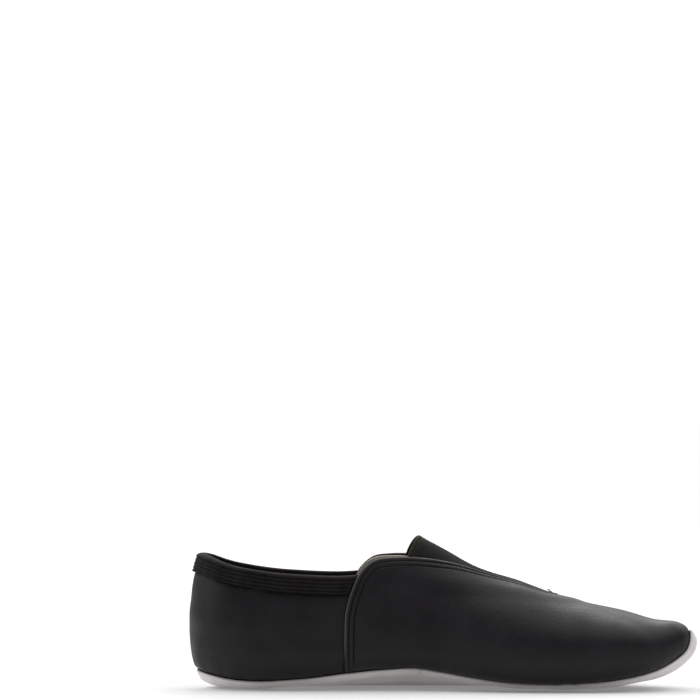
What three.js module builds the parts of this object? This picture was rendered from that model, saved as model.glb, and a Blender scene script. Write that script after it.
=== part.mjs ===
import * as THREE from 'three';

// A left soft slipper, standing flat and filled out as a foot fills it. Millimetres.
// X runs from the heel to the toe, Y from the inner side of the foot to the outer side, Z up.
// Every layer is a sheet laid at its own distance outside the foot space.

// ---- Plan of the foot space ----
const HEEL_CENTRE = 32;
const BALL_CENTRE = 168;
const HEEL_REACH = 29.9;
const HALF_WIDTHS = [
  // x, inner side, outer side
  [32, 29, 29], [72, 27, 31.5], [108, 26.2, 33.5], [140, 34.8, 38.2], [168, 41, 41],
];
const TOE_PLAN = [
  [168, -41], [188, -40.6], [208, -38.2], [224, -33], [236, -25], [242.8, -17.5], [245.6, -8.5],
  [243.8, 1], [238.5, 10], [228, 20.5], [210, 32], [188, 39], [168, 41],
];

// ---- Heights of the foot space ----
const CREST = [
  // x, height of the ridge above the spine
  [32, 92], [60, 92], [76, 90], [90, 85], [100, 79.6], [112.5, 73], [125.8, 65.4], [143.8, 56.3],
  [159.8, 50.6], [177, 43.8], [194, 40], [203, 38.4], [218, 36.7], [229, 35.6], [240, 37.8], [246, 38.6],
];
const GIRTH = [
  // x of the plan outline, height of the widest line
  [2, 30], [32, 24], [110, 22], [168, 18], [225, 19], [245.6, 23.5],
];
const ROUNDNESS = [
  // x of the plan outline, power of the section's upper half
  [32, 2.05], [110, 2], [168, 2.15], [225, 2.5], [245.6, 2.8],
];
const UNDER_PLAN_POWER = 5;
const UNDER_HEIGHT_POWER = 2.8;
const STANDING = 4.3;
const ARCH = [
  [35, 0], [50, 1], [63.4, 2.1], [76.4, 3.4], [96, 6.2], [110, 7.2], [123, 5.6], [142, 2.6], [160, 0.5], [174, 0],
];
const ARCH_AT_OUTER_SIDE = 0.12;
const ARCH_SLOPE_START = -20;
const ARCH_SLOPE_END = 28;
const TOE_SPRING = [
  [195, 0], [207, 0.5], [220, 1.8], [229, 2.8], [238, 4.5], [245.6, 7],
];

// ---- Seam between upper and sole, by place round the outline (see ray) ----
const FEATHER = [
  // place, angle down the section
  [0, -44], [0.33, -49], [0.67, -57], [1, -60.5], [1.17, -62], [1.33, -54.5], [1.5, -60], [1.67, -65],
  [1.83, -68], [2, -69], [2.17, -69], [2.33, -66.5], [2.5, -58.5], [2.67, -46], [2.83, -17], [2.92, 5],
  [3, -4], [3.17, -33], [3.33, -51], [3.5, -60], [3.67, -66], [3.83, -68], [4, -67], [4.17, -63.5],
  [4.33, -61.5], [4.5, -60.5], [4.67, -59.5], [4.83, -61], [5, -60.5], [5.33, -57], [5.67, -49], [6, -44],
];
const LASTING_MARGIN = 8;

// ---- Cut lines of the upper ----
const SIDE_SEAM = [
  // height, x of the vamp's rear edge
  [0, 76.4], [34.4, 76.7], [42.8, 78.1], [49.9, 80.3], [55.6, 82.5], [60.7, 86], [66, 91],
];
const EAR_CORNER = 86;
const V_EDGE = [
  // x, distance from the centre line as a share of the half width
  [80, 0.9], [86, 0.824], [91, 0.765], [98.4, 0.705], [105.6, 0.65], [114.3, 0.58], [123.6, 0.49],
  [134.5, 0.385], [145.3, 0.31], [156, 0.262], [167, 0.18], [173.5, 0.1], [177, 0],
];
const THROAT = 177;
const COLLAR_TOP = [
  // x, height of the binding's top edge
  [2, 66.2], [5.4, 65.6], [16, 62.3], [24, 60.4], [48.8, 57], [73, 55.9], [90, 56.6],
];
const COLLAR_DEPTH = 9;
const COLLAR_END_HEIGHT = 45;
const GORE_TOP_SIDE = 105;
const GORE_TOP_CENTRE = 112.5;
const GORE_MARGIN = 3.6;
const GORE_UNDER_THROAT = 5;

// ---- Layers, as distances outside the foot space ----
const LINING = [0, 0.6];
const UPPER = [1, 2];
const LAP_LIFT = 1.4;
const LAP_WIDTH = 8;
const LAP_FADE_START = 10;
const LAP_FADE_END = 20;
const QUARTER_LAP_START = 18;
const QUARTER_LAP_END = 26;
const PAD = [1, 2];
const OUTSOLE = [2.3, 4.3];
const OUTSOLE_LIP = 3;
const OUTSOLE_LIP_ROW = 0.4;
const BINDING_OUTER = [2.4, 3.3];
const BINDING_INNER = [-1.4, -0.6];
const FOLD_RADIUS = 1.2;
const FOLD_ROOF = 1;
const GAP = 0.4;
const FLAT_SNAP = 0.3;

// ---- Threads ----
const THREAD_RADIUS = 0.25;
const THREAD_CLEARANCE = 0.3;
const VAMP_ROWS = [2, 4.5];
const COLLAR_ROWS = [2.2, 4, 5.8, 7.6];
const BARTACK_LENGTH = 3;
const BARTACK_RADIUS = 0.42;
const BARTACK_AHEAD = 0.1;
const STITCH_END_INSET = 1.5;

// ---- Mesh steps ----
const SIDE_STEPS = 12;
const TOE_STEPS = 14;
const HEEL_STEPS = 15;
const WALL_ROWS = [0, 0.08, 0.18, 0.32, 0.48, 0.64, 0.78, 0.88, 0.94, 1];
const HEEL_ROWS = [0, 0.13, 0.27, 0.42, 0.57, 0.72, 0.86, 1];
const TURNED_ROWS = [1, 0.5];
const INSOLE_EDGE = 1.06;
const INSOLE_ROWS = [1.3, 1.65, 2];
const THREAD_SIDES = 4;
const BARTACK_SIDES = 8;
const BARTACK_STEPS = 6;
const BINDING_STEPS = 36;
const COLLAR_STITCH_STEPS = 32;
const VAMP_STITCH_STEPS = 13;
const EDGE_SAMPLE_STEPS = 14;
const GORE_STEPS = 14;
const GORE_ROWS = [0, 0.12, 0.25, 0.38, 0.5, 0.62, 0.74, 0.86, 1];
const HALVINGS = 30;
const SLOPE_STEP = 0.05;
const PLACE_STEP = 0.001;
const NEAR_SPINE_ANGLE = 89.5;
const NUDGE_PIECES = 4;

// A smooth curve through rows of numbers, level at both ends and never overshooting.
function smooth(rows, at, column = 1) {
  const last = rows.length - 1;
  if (at <= rows[0][0]) return rows[0][column];
  if (at >= rows[last][0]) return rows[last][column];
  let i = 0;
  while (rows[i + 1][0] < at) i += 1;
  const slope = (k) => (rows[k + 1][column] - rows[k][column]) / (rows[k + 1][0] - rows[k][0]);
  const tangent = (k) => {
    if (k === 0 || k === last) return 0;
    const before = slope(k - 1);
    const after = slope(k);
    return before * after <= 0 ? 0 : (2 * before * after) / (before + after);
  };
  const width = rows[i + 1][0] - rows[i][0];
  const t = (at - rows[i][0]) / width;
  const rise = rows[i + 1][column] - rows[i][column];
  const ease = t * t * (3 - 2 * t);
  return rows[i][column] + rise * ease
    + width * t * (1 - t) * (tangent(i) * (1 - t) - tangent(i + 1) * t);
}

function ramp(from, to, at) {
  const t = Math.min(1, Math.max(0, (at - from) / (to - from)));
  return t * t * (3 - 2 * t);
}

function mix(a, b, t) {
  return a + (b - a) * t;
}

function steps(from, to, count) {
  return Array.from({ length: count + 1 }, (_, i) => mix(from, to, i / count));
}

// The plan outline is six stretches: 0 to 1 round the heel, 1 to 2 along the inner side, 2 to 4 round
// the toe, 4 to 5 back along the outer side and 5 to 6 round the heel again. Each place on it has a ray
// from the spine.
const TOE_RAYS = TOE_PLAN.map(([x, y]) => [Math.atan2(y, x - BALL_CENTRE), Math.hypot(x - BALL_CENTRE, y)]);

function ray(place) {
  const s = ((place % 6) + 6) % 6;
  if (s >= 2 && s <= 4) {
    const turn = ((s - 3) * Math.PI) / 2;
    return { x: BALL_CENTRE, dx: Math.cos(turn), dy: Math.sin(turn), reach: smooth(TOE_RAYS, turn) };
  }
  if (s > 1 && s < 2) {
    const x = mix(HEEL_CENTRE, BALL_CENTRE, s - 1);
    return { x, dx: 0, dy: -1, reach: smooth(HALF_WIDTHS, x, 1) };
  }
  if (s > 4 && s < 5) {
    const x = mix(BALL_CENTRE, HEEL_CENTRE, s - 4);
    return { x, dx: 0, dy: 1, reach: smooth(HALF_WIDTHS, x, 2) };
  }
  const turn = ((s <= 1 ? s : s - 6) * Math.PI) / 2;
  const reach = mix(HEEL_REACH, HALF_WIDTHS[0][1], Math.sin(turn) ** 2);
  return { x: HEEL_CENTRE, dx: -Math.cos(turn), dy: -Math.sin(turn), reach };
}

function placeAt(x, side) {
  const s = 1 + (x - HEEL_CENTRE) / (BALL_CENTRE - HEEL_CENTRE);
  return side < 0 ? s : 6 - s;
}

function bottomHeight(x, y) {
  const outer = ramp(ARCH_SLOPE_START, ARCH_SLOPE_END, y);
  return STANDING + smooth(ARCH, x) * mix(1, ARCH_AT_OUTER_SIDE, outer) + smooth(TOE_SPRING, x);
}

// A point of the foot space: angle 90 is the ridge on top, 0 the widest line, -90 the spine below.
function footPoint(place, angle) {
  const { x: spine, dx, dy, reach } = ray(place);
  const turn = (Math.min(90, Math.abs(angle)) * Math.PI) / 180;
  const across = Math.max(0, Math.cos(turn));
  const outline = spine + dx * reach;
  const girth = smooth(GIRTH, outline);
  const power = smooth(ROUNDNESS, outline);
  const share = Math.abs(angle) >= 90 ? 0 : across ** (2 / (angle >= 0 ? power : UNDER_PLAN_POWER));
  const x = spine + dx * reach * share;
  const y = dy * reach * share;
  const z = angle >= 0
    ? girth + (smooth(CREST, x) - girth) * Math.sin(turn) ** (2 / power)
    : girth - (girth - bottomHeight(x, y)) * Math.sin(turn) ** (2 / UNDER_HEIGHT_POWER);
  return new THREE.Vector3(x, y, z);
}

function footNormal(place, angle) {
  const d = SLOPE_STEP;
  if (Math.abs(angle) > NEAR_SPINE_ANGLE) {
    const { x, y } = footPoint(place, angle);
    const height = (a, b) => (angle > 0 ? smooth(CREST, a) : bottomHeight(a, b));
    const slopeX = (height(x + d, y) - height(x - d, y)) / (2 * d);
    const slopeY = (height(x, y + d) - height(x, y - d)) / (2 * d);
    const up = angle > 0 ? 1 : -1;
    return new THREE.Vector3(-slopeX * up, -slopeY * up, up).normalize();
  }
  const along = footPoint(place + PLACE_STEP, angle).sub(footPoint(place - PLACE_STEP, angle));
  const upward = footPoint(place, Math.min(89.9, angle + d)).sub(footPoint(place, angle - d));
  return along.cross(upward).normalize();
}

function layerPoint(place, angle, distance) {
  return footPoint(place, angle).addScaledVector(footNormal(place, angle), distance);
}

// The angle at which a layer reaches a height.
function angleAt(place, height, distance) {
  let low = -84;
  let high = 89;
  for (let i = 0; i < HALVINGS; i += 1) {
    const middle = (low + high) / 2;
    if (layerPoint(place, middle, distance).z < height) low = middle;
    else high = middle;
  }
  return (low + high) / 2;
}

function featherAngle(place) {
  return smooth(FEATHER, ((place % 6) + 6) % 6);
}

// The angle under the foot where the upper's turned margin ends.
function marginAngle(place) {
  const { reach } = ray(place);
  const turn = (featherAngle(place) * Math.PI) / 180;
  const shareOf = (a) => Math.cos(a) ** (2 / UNDER_PLAN_POWER);
  const share = turn < 0 ? shareOf(turn) : 1;
  const inboard = Math.min(0.98, share - LASTING_MARGIN / reach);
  return (-Math.acos(inboard ** (UNDER_PLAN_POWER / 2)) * 180) / Math.PI;
}

// Rows under the foot: 0 is the feather line, 1 the end of the turned margin and 2 the spine.
function underAngle(place, row) {
  const margin = marginAngle(place);
  return row <= 1 ? mix(featherAngle(place), margin, row) : mix(margin, -90, row - 1);
}

// ---- Building closed solids ----
class Solid {
  constructor() {
    this.points = [];
    this.faces = [];
    this.known = new Map();
  }

  vertex(p) {
    const key = `${Math.round(p.x * 2000)},${Math.round(p.y * 2000)},${Math.round(p.z * 2000)}`;
    if (!this.known.has(key)) {
      this.known.set(key, this.points.length);
      this.points.push(p);
    }
    return this.known.get(key);
  }

  triangle(a, b, c) {
    if (a !== b && b !== c && c !== a) this.faces.push(a, b, c);
  }

  quad(a, b, c, d) {
    this.triangle(a, b, c);
    this.triangle(a, c, d);
  }

  geometry() {
    const made = new THREE.BufferGeometry();
    made.setAttribute('position', new THREE.Float32BufferAttribute(this.points.flatMap((p) => p.toArray()), 3));
    made.setIndex(this.faces);
    made.computeVertexNormals();
    return made;
  }
}

// A sheet of columns and rows with thickness: inside and outside are grids of points. A sheet that is
// closed round, as under the foot, has its last column joined to its first and runs in to one line, so
// it has no wall there. Its facets are split the way that the upper's are, whose rows run upwards.
function sheet(inside, outside, { round = false } = {}) {
  const solid = new Solid();
  const index = (grid) => grid.map((column) => column.map((p) => solid.vertex(p)));
  const inner = index(inside);
  const outer = index(outside);
  const columns = inner.length;
  const rows = inner[0].length;
  const spans = round ? columns : columns - 1;
  for (let i = 0; i < spans; i += 1) {
    const next = (i + 1) % columns;
    for (let j = 0; j < rows - 1; j += 1) {
      const outerFace = [outer[i][j], outer[next][j], outer[next][j + 1], outer[i][j + 1]];
      const innerFace = [inner[i][j], inner[i][j + 1], inner[next][j + 1], inner[next][j]];
      [outerFace, innerFace].forEach(([a, b, c, d]) => (round ? solid.quad(b, c, d, a) : solid.quad(a, b, c, d)));
    }
    solid.quad(outer[i][0], inner[i][0], inner[next][0], outer[next][0]);
    const end = rows - 1;
    if (!round) solid.quad(outer[next][end], inner[next][end], inner[i][end], outer[i][end]);
  }
  if (!round) {
    const end = columns - 1;
    for (let j = 0; j < rows - 1; j += 1) {
      solid.quad(outer[0][j + 1], inner[0][j + 1], inner[0][j], outer[0][j]);
      solid.quad(outer[end][j], inner[end][j], inner[end][j + 1], outer[end][j + 1]);
    }
  }
  return solid.geometry();
}

// A solid through a row of rings, each ring a closed loop, with flat ends cut from the section's outline.
function loft(rings, section) {
  const solid = new Solid();
  const loops = rings.map((ring) => ring.map((p) => solid.vertex(p)));
  const sides = loops[0].length;
  for (let i = 0; i < loops.length - 1; i += 1) {
    for (let j = 0; j < sides; j += 1) {
      const next = (j + 1) % sides;
      solid.quad(loops[i][j], loops[i][next], loops[i + 1][next], loops[i + 1][j]);
    }
  }
  const first = loops[0];
  const last = loops[loops.length - 1];
  const turned = THREE.ShapeUtils.isClockWise(section);
  THREE.ShapeUtils.triangulateShape(section, []).forEach((corners) => {
    const [a, b, c] = turned ? [...corners].reverse() : corners;
    solid.triangle(first[c], first[b], first[a]);
    solid.triangle(last[a], last[b], last[c]);
  });
  return solid.geometry();
}

// A closed mesh that came out inside out is turned the right way.
function facingOut(geometry) {
  const p = geometry.attributes.position;
  const index = geometry.index.array;
  const corner = (i) => new THREE.Vector3().fromBufferAttribute(p, index[i]);
  let volume = 0;
  for (let i = 0; i < index.length; i += 3) volume += corner(i).dot(corner(i + 1).cross(corner(i + 2)));
  if (volume < 0) {
    for (let i = 0; i < index.length; i += 3) [index[i], index[i + 1]] = [index[i + 1], index[i]];
    geometry.computeVertexNormals();
  }
  return geometry;
}

function thread(path) {
  const section = steps(0, 1, THREAD_SIDES).slice(0, -1).map((t) => {
    return new THREE.Vector2(Math.cos(t * Math.PI * 2), Math.sin(t * Math.PI * 2)).multiplyScalar(THREAD_RADIUS);
  });
  const rings = path.map(({ at, normal }, i) => {
    const before = path[Math.max(0, i - 1)].at;
    const after = path[Math.min(path.length - 1, i + 1)].at;
    const across = after.clone().sub(before).cross(normal).normalize();
    return section.map((c) => at.clone().addScaledVector(across, c.x).addScaledVector(normal, c.y));
  });
  return loft(rings, section);
}

// ---- Cut lines as places on the foot space ----
function halfWidth(x, side) {
  return smooth(HALF_WIDTHS, Math.min(x, BALL_CENTRE), side < 0 ? 1 : 2);
}

function angleOfShare(place, share) {
  const { x, dx, reach } = ray(place);
  const power = smooth(ROUNDNESS, x + dx * reach);
  return (Math.acos(Math.min(1, share) ** (power / 2)) * 180) / Math.PI;
}

// The V edge on the ray at a place, where stretch 2 is the inner side of the ball and 3 straight ahead.
function vEdgeAngle(place) {
  const { x, dx, dy, reach } = ray(place);
  const side = dy < 0 ? -1 : 1;
  if (Math.abs(dx) < 1e-9) return angleOfShare(place, smooth(V_EDGE, x));
  let low = 0;
  let high = THROAT - BALL_CENTRE + 0.001;
  for (let i = 0; i < HALVINGS; i += 1) {
    const r = (low + high) / 2;
    const wide = smooth(V_EDGE, x + dx * r) * halfWidth(x, side);
    if (Math.abs(dy * r) < wide) low = r;
    else high = r;
  }
  return angleOfShare(place, low / reach);
}

// One side of the vamp from the side seam to straight ahead, as a patch between its four cut lines.
function vampPlace(u, v, side) {
  const inner = (s) => (side < 0 ? s : 6 - s);
  const seamPlace = placeAt(SIDE_SEAM[0][1], -1);
  const cornerPlace = placeAt(EAR_CORNER, -1);
  const along = (from) => (u < 0.5 ? mix(from, 2, u * 2) : mix(2, 3, u * 2 - 1));
  const bottomPlace = along(seamPlace);
  const topPlace = along(cornerPlace);
  const bottom = [bottomPlace, featherAngle(inner(bottomPlace))];
  const top = [topPlace, vEdgeAngle(inner(topPlace))];
  const seamFoot = [seamPlace, featherAngle(inner(seamPlace))];
  const corner = [cornerPlace, vEdgeAngle(inner(cornerPlace))];
  const cornerHeight = layerPoint(inner(cornerPlace), corner[1], UPPER[1]).z;
  const footHeight = layerPoint(inner(seamPlace), seamFoot[1], UPPER[1]).z;
  const height = mix(footHeight, cornerHeight, v);
  const rearPlace = placeAt(v === 1 ? EAR_CORNER : smooth(SIDE_SEAM, height), -1);
  const rear = v === 1 ? corner : [rearPlace, angleAt(inner(rearPlace), height, UPPER[1])];
  const front = [3, mix(featherAngle(3), vEdgeAngle(3), v)];
  const ahead = [3, featherAngle(3)];
  const throat = [3, vEdgeAngle(3)];
  const blend = (k) => mix(bottom[k], top[k], v) + mix(rear[k], front[k], u)
    - mix(mix(seamFoot[k], ahead[k], u), mix(corner[k], throat[k], u), v);
  return { place: inner(blend(0)), angle: blend(1), share: v };
}

// How far the vamp stands off its neighbours' layer: it laps over the quarter and the gore, but not
// down at the sole, where it meets the quarter edge to edge.
function lapLift(point, share) {
  const away = Math.min(...VAMP_EDGE.map((p) => p.distanceTo(point)));
  return LAP_LIFT * (1 - ramp(LAP_FADE_START, LAP_FADE_END, away)) * ramp(0, WALL_ROWS[2], share);
}

function vampEdgePlaces(count) {
  const oneSide = (side) => [
    ...steps(0, 1, count).map((v) => vampPlace(0, v, side)),
    ...steps(0, 1, 2 * count).slice(1).map((u) => vampPlace(u, 1, side)),
  ];
  return [...oneSide(-1), ...oneSide(1).slice(0, -1).reverse()];
}

const VAMP_EDGE = vampEdgePlaces(EDGE_SAMPLE_STEPS).map(({ place, angle }) => footPoint(place, angle));

// ---- Sub-parts ----
function vampSheet(layer, lifted) {
  const oneSide = (side) => {
    const list = [...steps(0, 0.5, SIDE_STEPS), ...steps(0.5, 1, TOE_STEPS).slice(1)];
    return list.map((u) => {
      const { place } = vampPlace(u, 0, side);
      const under = TURNED_ROWS.map((row) => ({ place, angle: underAngle(place, row), share: 0 }));
      return [...under, ...WALL_ROWS.map((v) => vampPlace(u, v, side))];
    });
  };
  const columns = [...oneSide(-1), ...oneSide(1).reverse().slice(1)];
  const grid = (distance) => columns.map((column) => column.map(({ place, angle, share }) => {
    const lift = lifted ? lapLift(footPoint(place, angle), share) : 0;
    return layerPoint(place, angle, distance + lift);
  }));
  return sheet(grid(layer[0]), grid(layer[1]));
}

// The heel's sheets run from the inner side seam round the back to the outer side seam.
function heelSheet(layer, frontShift, topDrop) {
  const list = steps(-1, 1, 2 * HEEL_STEPS);
  const heightAt = (place, v) => {
    const { x, dx, reach } = ray(place);
    const foot = layerPoint(place, featherAngle(place), layer[1]).z;
    return mix(foot, smooth(COLLAR_TOP, x + dx * reach) - topDrop, v);
  };
  const frontAt = (height) => placeAt(smooth(SIDE_SEAM, height) + frontShift(height), -1);
  const footFront = frontAt(0);
  const columns = list.map((u) => [
    ...TURNED_ROWS.map((row) => ({ place: u * footFront, angle: underAngle(u * footFront, row) })),
    ...HEEL_ROWS.map((v) => {
      const place = u * frontAt(heightAt(u * footFront, v));
      return { place, angle: v === 0 ? featherAngle(place) : angleAt(place, heightAt(place, v), layer[1]) };
    }),
  ]);
  const grid = (distance) => columns.map((column) => column.map((p) => layerPoint(p.place, p.angle, distance)));
  return sheet(grid(layer[0]), grid(layer[1]));
}

// The places of the quarter's and the vamp's columns, all round the outline.
function outlinePlaces() {
  const seam = placeAt(SIDE_SEAM[0][1], -1);
  const inner = [
    ...steps(0, placeAt(SIDE_SEAM[0][1] - GAP, -1), HEEL_STEPS),
    ...steps(seam, 2, SIDE_STEPS).slice(1),
    ...steps(2, 3, TOE_STEPS).slice(1),
  ];
  return [...inner, ...inner.slice(1, -1).reverse().map((s) => 6 - s)];
}

// A sheet under the foot, in rows from its edge inwards to the spine.
function underSheet(rows, inner, outer, snap = (p) => p) {
  const columns = outlinePlaces().map((place) => rows.map((row) => ({ place, angle: underAngle(place, row), row })));
  const grid = (distance) => columns.map((column) => column.map((p) => {
    return snap(layerPoint(p.place, p.angle, distance(p.row)), distance);
  }));
  return sheet(grid(inner), grid(outer), { round: true });
}

function outsole() {
  const inner = () => OUTSOLE[0];
  const outer = (row) => mix(OUTSOLE_LIP, OUTSOLE[1], ramp(0, OUTSOLE_LIP_ROW, row));
  const snap = (p, distance) => {
    if (distance === outer && p.z < FLAT_SNAP) p.z = 0;
    return p;
  };
  return underSheet([0, 0.2, 0.5, 1, ...INSOLE_ROWS], inner, outer, snap);
}

function insole(layer) {
  return underSheet([INSOLE_EDGE, ...INSOLE_ROWS], () => layer[0], () => layer[1]);
}

function gore() {
  const last = THROAT + GORE_UNDER_THROAT;
  const columns = steps(-1, 1, GORE_STEPS).map((across) => GORE_ROWS.map((t) => {
    const side = across < 0 ? -1 : 1;
    const start = mix(GORE_TOP_CENTRE, GORE_TOP_SIDE, Math.abs(across) ** 1.5);
    const x = mix(start, last, t);
    const wide = smooth(V_EDGE, x) * halfWidth(x, side) + GORE_MARGIN;
    return surfaceAbove(x, across * wide);
  }));
  const grid = (distance) => columns.map((column) => column.map((p) => layerPoint(p.place, p.angle, distance)));
  return sheet(grid(UPPER[0]), grid(UPPER[1]));
}

// The place and angle of the point of the upper surface over (x, y) in plan.
function surfaceAbove(x, y) {
  if (x <= BALL_CENTRE) {
    const place = placeAt(x, y < 0 ? -1 : 1);
    return { place, angle: angleOfShare(place, Math.abs(y) / ray(place).reach) };
  }
  const place = 3 + Math.atan2(y, x - BALL_CENTRE) / (Math.PI / 2);
  return { place, angle: angleOfShare(place, Math.hypot(x - BALL_CENTRE, y) / ray(place).reach) };
}

function collarPlaces(count, shortBy = 0) {
  const reach = placeAt(smooth(SIDE_SEAM, COLLAR_END_HEIGHT) - GAP - shortBy, -1);
  return steps(-reach, reach, count);
}

function collarPoint(place, distance, depth) {
  const outline = ray(place);
  const top = smooth(COLLAR_TOP, outline.x + outline.dx * outline.reach);
  const angle = angleAt(place, top - depth, distance);
  return layerPoint(place, angle, distance);
}

function collarBinding() {
  const [near, far] = BINDING_OUTER;
  const [low, high] = BINDING_INNER;
  const wall = far - near;
  const crown = (near + high) / 2;
  const section = [
    [near, COLLAR_DEPTH], [far, COLLAR_DEPTH], [far, COLLAR_DEPTH / 2], [far, FOLD_RADIUS],
    [far - wall, FOLD_RADIUS - wall], [crown, 0], [low + wall, FOLD_RADIUS - wall],
    [low, FOLD_RADIUS], [low, COLLAR_DEPTH], [high, COLLAR_DEPTH], [high, FOLD_ROOF], [near, FOLD_ROOF],
  ].map(([a, b]) => new THREE.Vector2(a, b));
  const rings = collarPlaces(BINDING_STEPS).map((place) => section.map((c) => collarPoint(place, c.x, c.y)));
  return loft(rings, section);
}

function collarStitch(depth) {
  const distance = BINDING_OUTER[1] + THREAD_CLEARANCE + THREAD_RADIUS;
  const path = collarPlaces(COLLAR_STITCH_STEPS, STITCH_END_INSET).map((place) => {
    const at = collarPoint(place, distance, depth);
    const normal = at.clone().sub(collarPoint(place, distance - 1, depth)).setZ(0).normalize();
    return { at, normal };
  });
  return thread(path);
}

// A line on the vamp at a set distance in from its rear and V edges.
function vampStitch(inset) {
  const edge = vampEdgePlaces(VAMP_STITCH_STEPS).slice(1, -1);
  const distance = UPPER[1] + THREAD_CLEARANCE + THREAD_RADIUS;
  const path = edge.map(({ place, angle, share }, i) => {
    const at = footPoint(place, angle);
    const before = edge[Math.max(0, i - 1)];
    const after = edge[Math.min(edge.length - 1, i + 1)];
    const along = footPoint(after.place, after.angle).sub(footPoint(before.place, before.angle)).normalize();
    const inward = along.clone().cross(footNormal(place, angle)).normalize().multiplyScalar(inset);
    const moved = nudge(place, angle, inward);
    const lift = lapLift(at, share);
    return {
      at: layerPoint(moved.place, moved.angle, distance + lift),
      normal: footNormal(moved.place, moved.angle),
    };
  });
  return thread(path);
}

// Moves a place on the foot space by a small step along the surface.
function nudge(place, angle, move) {
  let now = { place, angle };
  for (let i = 0; i < NUDGE_PIECES; i += 1) {
    const at = footPoint(now.place, now.angle);
    const along = footPoint(now.place + PLACE_STEP, now.angle).sub(at).divideScalar(PLACE_STEP);
    const up = footPoint(now.place, now.angle + SLOPE_STEP).sub(at).divideScalar(SLOPE_STEP);
    const step = move.clone().multiplyScalar(1 / NUDGE_PIECES);
    const aa = along.dot(along);
    const bb = up.dot(up);
    const ab = along.dot(up);
    const a = along.dot(step);
    const b = up.dot(step);
    const det = aa * bb - ab * ab;
    now = { place: now.place + (a * bb - b * ab) / det, angle: now.angle + (b * aa - a * ab) / det };
  }
  return now;
}

function bartack() {
  const x = THROAT + BARTACK_AHEAD;
  const distance = UPPER[1] + LAP_LIFT + THREAD_CLEARANCE + BARTACK_RADIUS;
  const section = steps(0, 1, BARTACK_SIDES).slice(0, -1).map((t) => {
    return new THREE.Vector2(Math.cos(t * Math.PI * 2), Math.sin(t * Math.PI * 2)).multiplyScalar(BARTACK_RADIUS);
  });
  const rings = steps(-0.5, 0.5, BARTACK_STEPS).map((t) => {
    const { place, angle } = surfaceAbove(x, t * BARTACK_LENGTH);
    const at = layerPoint(place, angle, distance);
    const normal = footNormal(place, angle);
    return section.map((c) => at.clone().add(new THREE.Vector3(c.x, 0, 0)).addScaledVector(normal, c.y));
  });
  return loft(rings, section);
}

// The quarter's front edge runs under the vamp, and comes back to meet it edge to edge near the sole.
function quarterFront(height) {
  return mix(-GAP, LAP_WIDTH, ramp(QUARTER_LAP_START, QUARTER_LAP_END, height));
}

// ---- Materials ----
function material(color, roughness) {
  return new THREE.MeshStandardMaterial({ color, roughness, metalness: 0 });
}

const blackLeather = () => material(0x29272a, 0.42);
const blackElastic = () => material(0x1e1b1c, 0.85);
const whiteSuede = () => material(0xd9d2d1, 0.9);
const liningCotton = () => material(0xc9c4ba, 0.9);
const sockFabric = () => material(0xbdb9b2, 0.9);
const foam = () => material(0xe4dfcf, 0.9);
const blackThread = () => material(0x161416, 0.6);

const root = new THREE.Group();

function add(name, geometry, look) {
  const mesh = new THREE.Mesh(facingOut(geometry), look);
  mesh.name = name;
  root.add(mesh);
}

add('outsole', outsole(), whiteSuede());
add('insole_pad', insole(PAD), foam());
add('insole_sock', insole(LINING), sockFabric());
add('vamp', vampSheet(UPPER, true), blackLeather());
add('vamp_lining', vampSheet(LINING, false), liningCotton());
add('heel_quarter', heelSheet(UPPER, quarterFront, FOLD_ROOF + GAP), blackLeather());
add('heel_lining', heelSheet(LINING, () => -GAP, FOLD_ROOF + GAP), liningCotton());
add('instep_gore', gore(), blackElastic());
add('collar_elastic', collarBinding(), blackElastic());
VAMP_ROWS.forEach((inset, i) => add(`vamp_edge_stitch_${i + 1}`, vampStitch(inset), blackThread()));
COLLAR_ROWS.forEach((depth, i) => add(`collar_stitch_${i + 1}`, collarStitch(depth), blackThread()));
add('throat_bartack', bartack(), blackThread());

// The part's origin is on the floor, under the middle of its box.
const group = new THREE.Group();
const box = new THREE.Box3().setFromObject(root);
root.position.set(-(box.min.x + box.max.x) / 2, -(box.min.y + box.max.y) / 2, -box.min.z);
group.add(root);
group.updateMatrixWorld(true);

export default group;
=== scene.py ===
import math

import bmesh
import bpy
import numpy as np
from mathutils.kdtree import KDTree
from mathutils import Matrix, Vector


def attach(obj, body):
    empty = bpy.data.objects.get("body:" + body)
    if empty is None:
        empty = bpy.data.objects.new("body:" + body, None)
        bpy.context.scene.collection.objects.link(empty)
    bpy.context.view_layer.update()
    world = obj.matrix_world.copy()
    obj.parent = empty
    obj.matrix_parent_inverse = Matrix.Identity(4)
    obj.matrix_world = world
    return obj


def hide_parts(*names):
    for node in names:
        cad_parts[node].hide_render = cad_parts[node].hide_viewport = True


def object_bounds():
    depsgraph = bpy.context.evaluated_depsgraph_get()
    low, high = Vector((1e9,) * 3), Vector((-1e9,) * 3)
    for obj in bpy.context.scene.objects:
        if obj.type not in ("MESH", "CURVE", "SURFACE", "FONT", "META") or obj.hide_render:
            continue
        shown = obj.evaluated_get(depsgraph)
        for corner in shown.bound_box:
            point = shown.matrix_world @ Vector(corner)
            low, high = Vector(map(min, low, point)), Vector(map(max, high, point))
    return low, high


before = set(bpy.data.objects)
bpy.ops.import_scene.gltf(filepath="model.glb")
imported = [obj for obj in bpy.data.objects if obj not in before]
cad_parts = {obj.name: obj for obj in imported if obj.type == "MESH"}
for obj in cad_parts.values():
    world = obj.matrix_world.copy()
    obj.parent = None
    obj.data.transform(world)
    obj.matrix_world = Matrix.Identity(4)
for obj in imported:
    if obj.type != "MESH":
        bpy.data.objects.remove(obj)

CAD_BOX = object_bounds()

# A left ballet slipper, filled out as a foot fills it. Lengths are in millimetres up to the last step,
# where a piece is moved from the heel's zero to the frame and scaled to metres.
MM = 0.001
HEEL_X = CAD_BOX[0].x / MM
BODY = "root"

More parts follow.
